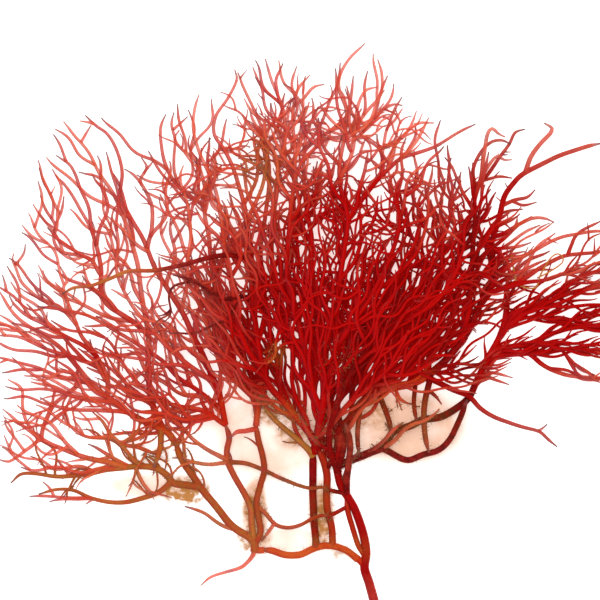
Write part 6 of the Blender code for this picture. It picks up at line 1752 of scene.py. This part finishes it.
class SeaweedSizes(bpy.types.PropertyGroup):
    """Sizes that a user would change."""

    thickness: bpy.props.FloatProperty(
        name="Thickness", description="Branch thickness against the solids", default=1.0, min=0.5, max=1.2,
        subtype="FACTOR")
    sides: bpy.props.IntProperty(
        name="Sides", description="Faces round a branch", default=8, min=5, max=12)
    lace_sides: bpy.props.IntProperty(
        name="Branchlet sides", description="Faces round an extra branchlet", default=5, min=4, max=10)
    unevenness: bpy.props.FloatProperty(
        name="Unevenness", description="How far the skin strays, as a share of the radius", default=0.16,
        subtype="FACTOR")
    hair_length: metres("Hair length", "Longest hair", 0.0034)
    hair_radius: metres("Hair radius", "Radius of a hair at its root", 0.000085)
    crumb_size: metres("Crumb size", "Largest crumb of silt", 0.00028)
    glow_depth: metres("Glow depth", "How deep light goes into the tissue", 0.0006)


def tint(name, description, red, green, blue):
    """A colour that a user can set."""
    return bpy.props.FloatVectorProperty(name=name, description=description, subtype="COLOR", size=3,
                                         min=0.0, max=1.0, default=(red, green, blue))


class SeaweedTints(bpy.types.PropertyGroup):
    """Colours of the tissue and of what lives and lies on it."""

    coral: tint("Coral", "Thin branches at the rim", 0.66, 0.11, 0.062)
    rose: tint("Rose", "Cooler thin branches", 0.54, 0.062, 0.055)
    ember: tint("Ember", "Warm orange red branches", 0.60, 0.095, 0.03)
    crimson: tint("Crimson", "Where the tissue lies thick", 0.36, 0.0018, 0.0012)
    orange: tint("Orange", "Bright old stalks", 0.57, 0.055, 0.01)
    maroon: tint("Maroon", "Oldest, darkest stalks", 0.05, 0.003, 0.003)
    ochre: tint("Ochre", "Silt", 0.42, 0.18, 0.03)
    olive: tint("Olive", "Greener silt", 0.18, 0.09, 0.015)
    violet: tint("Violet", "Shaded flanks of thin branches", 0.12, 0.02, 0.05)
    bruise: tint("Bruise", "Purple places on thin branches", 0.17, 0.022, 0.055)
    ash: tint("Ash", "Dying tips", 0.12, 0.05, 0.05)
    fuzz: tint("Fuzz", "Brown hairs", 0.14, 0.05, 0.012)
    moss: tint("Moss", "Green hairs", 0.11, 0.07, 0.015)
    straw: tint("Straw", "Pale hairs", 0.36, 0.18, 0.05)
    disc: tint("Disc", "Tissue of the disc", 0.30, 0.08, 0.04)
    floor: tint("Floor", "Plain floor", 0.92, 0.915, 0.90)
    stain: tint("Stain", "Floor under a film of silt", 0.30, 0.125, 0.035)
    # Painted light: the floor's colour where the plant tints the light on it.
    glow: tint("Glow", "Floor in the light that the plant colours", 0.56, 0.36, 0.26)


class SeaweedLight(bpy.types.PropertyGroup):
    """Camera and light of the stage."""

    height: metres("Camera height", "Height of the camera above the floor", 1.68)
    view_width: metres("View width", "Width of the floor that the picture shows", 0.2)
    sky: bpy.props.FloatProperty(
        name="Sky", description="Strength of the even light from all round", default=0.85)
    table: bpy.props.FloatProperty(
        name="Table", description="Strength of the light that the floor gives off", default=0.75)
    overhead: bpy.props.FloatProperty(
        name="Overhead", description="Power of the large lamp overhead", default=22.0, unit="POWER")


def sizes():
    return bpy.context.scene.seaweed_sizes


def tints():
    return bpy.context.scene.seaweed_tints


@functools.lru_cache(maxsize=None)
def skin(name):
    """The material of the given name, made once."""
    makers = {"tissue": tissue, "hair": hair_finish, "crumb": crumb_finish, "disc": disc_finish}
    return makers[name]("seaweed_" + name, tints())


def grown_tubes(wires, piece, sides):
    """Round branches along the lines, as the piece of the given name."""
    values = {"Sides": sides, "Thickness": sizes().thickness, "Unevenness": sizes().unevenness,
              "Wave size": SKIN_WAVES, "Skin": skin("tissue")}
    return grown(wires.item(piece + "_lines"), tube_tree(), values, piece)


# The pieces of each frond, its thick branches and its branchlets, and their slot.
PIECES = {LEFT: ("left_frond", "left_lace", "coral_frond"),
          CENTRE: ("centre_frond", "centre_lace", "crimson_frond"),
          RIGHT: ("right_frond", "right_lace", "dark_frond")}


def wires_of(frond):
    """All thick branches of one frond, with the strands that close its gaps."""
    wires = Wires()
    for name, (points, radii, tone, branch) in lines().routes.items():
        if branch.frond == frond:
            add_route(wires, points, radii, tone, name)
    for points, radii, tone, join in lines().joins:
        if join.frond == frond:
            add_route(wires, points, radii, tone, join.name, tip=False)
    return wires


class SEAWEED_OT_fronds(bpy.types.Operator):
    """Make the three fronds as round, tapering branches along the same routes as the solids"""

    bl_idname = "seaweed.fronds"
    bl_label = "Fronds"

    def execute(self, context):
        for frond, (piece, _, slot) in PIECES.items():
            item = grown_tubes(wires_of(frond), piece, sizes().sides)
            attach(item, "root")
            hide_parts(frond)
        return {"FINISHED"}


class SEAWEED_OT_lace(bpy.types.Operator):
    """Fill the fronds with branchlets that are too fine for the solids"""

    bl_idname = "seaweed.lace"
    bl_label = "Branchlets"

    def execute(self, context):
        for frond, (_, piece, slot) in PIECES.items():
            wires = Wires()
            for points, radii, tone, parent in lines().laces:
                if parent.frond == frond:
                    add_route(wires, points, radii, tone, parent.name)
            item = grown_tubes(wires, piece, sizes().lace_sides)
            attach(item, "root")
        return {"FINISHED"}


def carriers(channel_of):
    """Lines of all branches, with a chance for each point to carry something, and its size."""
    wires = Wires()
    for points, radii, tone, _ in list(lines().routes.values()) + lines().laces:
        chance, size = channel_of(points)
        if float(chance.max()) < LEAST_CHANCE:
            continue
        wires.add(points, radius=radii, silt=chance, bright=size, tone=tone)
    return wires


def fuzz_at(points):
    """Chance of a hair at each point, and the length of the longest there as a share."""
    chance, size = np.zeros(len(points)), np.zeros(len(points))
    for patch in FUZZ_PATCHES:
        cover = ease(HAIR_REACH - apart_from(points, patch))
        chance = np.maximum(chance, patch.density * cover * HAIR_SPACING)
        size = np.maximum(size, cover * patch.length / LONGEST_HAIR)
    return chance, size


def silt_at(points):
    """Chance of a crumb at each point, and its size."""
    return patchwork(points, SILT_ZONES) * CRUMB_CHANCE, np.ones(len(points))


class SEAWEED_OT_fuzz(bpy.types.Operator):
    """Grow fine hairs on the old stalks"""

    bl_idname = "seaweed.fuzz"
    bl_label = "Fuzz"

    def execute(self, context):
        item = grown(carriers(fuzz_at).item("fuzz_lines"), hair_tree(), {
            "Spacing": HAIR_SPACING * MM, "Longest": sizes().hair_length, "Thickness": sizes().hair_radius,
            "Ground": HAIR_CLEARANCE[0], "Ceiling": CAD_HIGH[2] - HAIR_CLEARANCE[1],
            "Skin": skin("hair")}, "fuzz")
        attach(item, "root")
        return {"FINISHED"}


class SEAWEED_OT_silt(bpy.types.Operator):
    """Scatter crumbs of silt on the old stalks"""

    bl_idname = "seaweed.silt"
    bl_label = "Silt"

    def execute(self, context):
        item = grown(carriers(silt_at).item("silt_lines"), crumb_tree(), {
            "Largest": sizes().crumb_size, "Skin": skin("crumb")}, "silt_crumbs")
        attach(item, "root")
        return {"FINISHED"}


def disc_shape():
    """Points and faces of the disc: lobed rings along its profile, closed at both ends."""
    stem = lines().plant.named["stem"]
    forward = Vector(np.array(stem.rings[1]) - np.array(stem.rings[0]))
    forward.z = 0.0
    forward.normalize()
    across = forward.cross(Vector((0, 0, 1))).normalized()
    upward = across.cross(forward)
    centre, count = Vector(HOLDFAST_CENTRE), DISC_SIDES
    places, faces = [], []
    for ring, (along, scale) in enumerate(smooth(DISC_PROFILE, DISC_STEP)):
        base = (ring - 1) * count
        for index in range(count):
            turn = 2.0 * math.pi * index / count
            lobes = sum(size * wave(number * turn + start) for wave, size, number, start in DISC_LOBES)
            reach = HOLDFAST_RADIUS * scale * (1.0 + min(scale, 1.0) * lobes)
            point = centre + forward * along + (across * math.cos(turn) + upward * math.sin(turn)) * reach
            places.append(in_frame(point.x, point.y, max(point.z, FLOOR_CLEARANCE)))
            if ring:
                following = (index + 1) % count
                faces.append((base + index, base + following, base + count + following,
                              base + count + index))
    faces.append(tuple(reversed(range(count))))
    faces.append(tuple(range(base + count, base + 2 * count)))
    return places, faces


class SEAWEED_OT_holdfast(bpy.types.Operator):
    """Make the small lobed disc that the stem grew from"""

    bl_idname = "seaweed.holdfast"
    bl_label = "Disc"

    def execute(self, context):
        places, faces = disc_shape()
        mesh = bpy.data.meshes.new("holdfast_disc")
        mesh.from_pydata(places, [], faces)
        work = bmesh.new()
        work.from_mesh(mesh)
        bmesh.ops.recalc_face_normals(work, faces=work.faces)
        work.to_mesh(mesh)
        work.free()
        mesh.polygons.foreach_set("use_smooth", [True] * len(mesh.polygons))
        mesh.materials.append(skin("disc"))
        item = bpy.data.objects.new("holdfast_disc", mesh)
        context.scene.collection.objects.link(item)
        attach(item, "root")
        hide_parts("holdfast")
        return {"FINISHED"}


# The floor in metres: half width and level, then the shade of its grain, and the reach and slope of its
# patches.
FLOOR_REACH = 4.0
FLOOR_LEVEL = -0.0001
FLOOR_SHADE = 0.985
FLOOR_PATCH_REACH = 1.4
FLOOR_PATCH_SLOPE = 1.6
# The middle of the view on the plan, the lamp's size and its place from there in metres, and the camera.
SKY_COLOUR = (1.0, 0.995, 0.98, 1.0)
VIEW_CENTRE = (100.0, 100.0)
LAMP_SIZE = 1.6
LAMP_PLACE = (-0.5, 0.4, 2.0)
SENSOR_WIDTH = 36.0
CLIP_RANGE = (0.1, 20.0)


def floor_patches(graph, zones, grain, contrast):
    """How strongly the zones cover the floor, from 0 to 1, as a wire; grain counts waves per metre."""
    place = graph.wire("ShaderNodeTexCoord", output="Object")
    cover = None
    for zone in zones:
        middle = in_frame(zone.x, zone.y, 0.0)
        away = vector_maths(graph, "DIVIDE", vector_maths(graph, "SUBTRACT", place, middle),
                            (zone.across * MM, zone.along * MM, 1.0))
        away = vector_maths(graph, "LENGTH", away, output="Value")
        near = ((FLOOR_PATCH_REACH - away) * FLOOR_PATCH_SLOPE).held() * zone.strength
        cover = near if cover is None else cover.maths("MAXIMUM", cover, near)
    return (cover * (1.0 + (noise(graph, grain, detail=4.0) - 0.5) * contrast)).held()


class SEAWEED_OT_stage(bpy.types.Operator):
    """Set up the floor, the soft light and the camera straight above"""

    bl_idname = "seaweed.stage"
    bl_label = "Stage"

    def execute(self, context):
        scene, light = context.scene, context.scene.seaweed_light
        mesh = bpy.data.meshes.new("floor")
        mesh.from_pydata([(x * FLOOR_REACH, y * FLOOR_REACH, FLOOR_LEVEL)
                          for x, y in ((-1, -1), (1, -1), (1, 1), (-1, 1))], [], [(0, 1, 2, 3)])
        floor = bpy.data.objects.new("floor", mesh)
        scene.collection.objects.link(floor)
        material, graph = blank_material("plain_floor")
        grain = noise(graph, 300.0, detail=2.0)
        colour = graph.blend(tints().floor, tuple(FLOOR_SHADE * part for part in tints().floor), grain)
        # Painted light: warm patches on the floor where the plant tints the light.
        glow = floor_patches(graph, PAINTED_GLOW_ZONES, grain=70.0, contrast=1.4)
        stain = floor_patches(graph, STAIN_ZONES, grain=420.0, contrast=5.0)
        colour = graph.blend(graph.blend(colour, tints().glow, glow), tints().stain, stain)
        finish_shader(graph, colour, 0.85, bump=grain, distance=0.00002, more={
            "Specular IOR Level": 0.1, "Emission Color": colour, "Emission Strength": light.table})
        mesh.materials.append(material)
        floor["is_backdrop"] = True

        world = bpy.data.worlds.new("soft_sky")
        world.use_nodes = True
        background = world.node_tree.nodes["Background"]
        background.inputs["Color"].default_value = SKY_COLOUR
        background.inputs["Strength"].default_value = light.sky
        scene.world = world

        centre = Vector(in_frame(*VIEW_CENTRE, 0.0))
        lamp = bpy.data.lights.new("overhead", "AREA")
        lamp.shape = "DISK"
        lamp.size = LAMP_SIZE
        lamp.energy = light.overhead
        item = bpy.data.objects.new("overhead", lamp)
        item.location = centre + Vector(LAMP_PLACE)
        item.rotation_euler = (centre - item.location).to_track_quat("-Z", "Y").to_euler()
        scene.collection.objects.link(item)

        camera = bpy.data.cameras.new("camera")
        camera.sensor_width = SENSOR_WIDTH
        camera.lens = camera.sensor_width * light.height / light.view_width
        camera.clip_start, camera.clip_end = CLIP_RANGE
        item = bpy.data.objects.new("camera", camera)
        item.location = centre + Vector((0.0, 0.0, light.height))
        scene.collection.objects.link(item)
        scene.camera = item
        scene.view_settings.view_transform = "Standard"
        return {"FINISHED"}


class SEAWEED_PT_panel(bpy.types.Panel):
    """Everything that this file makes, in the order in which it is made"""

    bl_label = "Seaweed"
    bl_space_type = "VIEW_3D"
    bl_region_type = "UI"
    bl_category = "Seaweed"

    def draw(self, context):
        for group in (sizes(), tints(), context.scene.seaweed_light):
            for name in group.bl_rna.properties.keys():
                if name not in ("rna_type", "name"):
                    self.layout.prop(group, name)
        for operator in OPERATORS:
            self.layout.operator(operator.bl_idname)


OPERATORS = (SEAWEED_OT_stage, SEAWEED_OT_fronds, SEAWEED_OT_lace, SEAWEED_OT_fuzz, SEAWEED_OT_silt,
             SEAWEED_OT_holdfast)
CLASSES = (SeaweedSizes, SeaweedTints, SeaweedLight) + OPERATORS + (SEAWEED_PT_panel,)


def register():
    for each in CLASSES:
        bpy.utils.register_class(each)
    bpy.types.Scene.seaweed_sizes = bpy.props.PointerProperty(type=SeaweedSizes)
    bpy.types.Scene.seaweed_tints = bpy.props.PointerProperty(type=SeaweedTints)
    bpy.types.Scene.seaweed_light = bpy.props.PointerProperty(type=SeaweedLight)


def unregister():
    del bpy.types.Scene.seaweed_light
    del bpy.types.Scene.seaweed_tints
    del bpy.types.Scene.seaweed_sizes
    for each in reversed(CLASSES):
        bpy.utils.unregister_class(each)


def main():
    register()
    bpy.ops.seaweed.stage()
    bpy.ops.seaweed.fronds()
    bpy.ops.seaweed.lace()
    bpy.ops.seaweed.fuzz()
    bpy.ops.seaweed.silt()
    bpy.ops.seaweed.holdfast()
    bpy.context.view_layer.update()


if __name__ == "__main__":
    main()
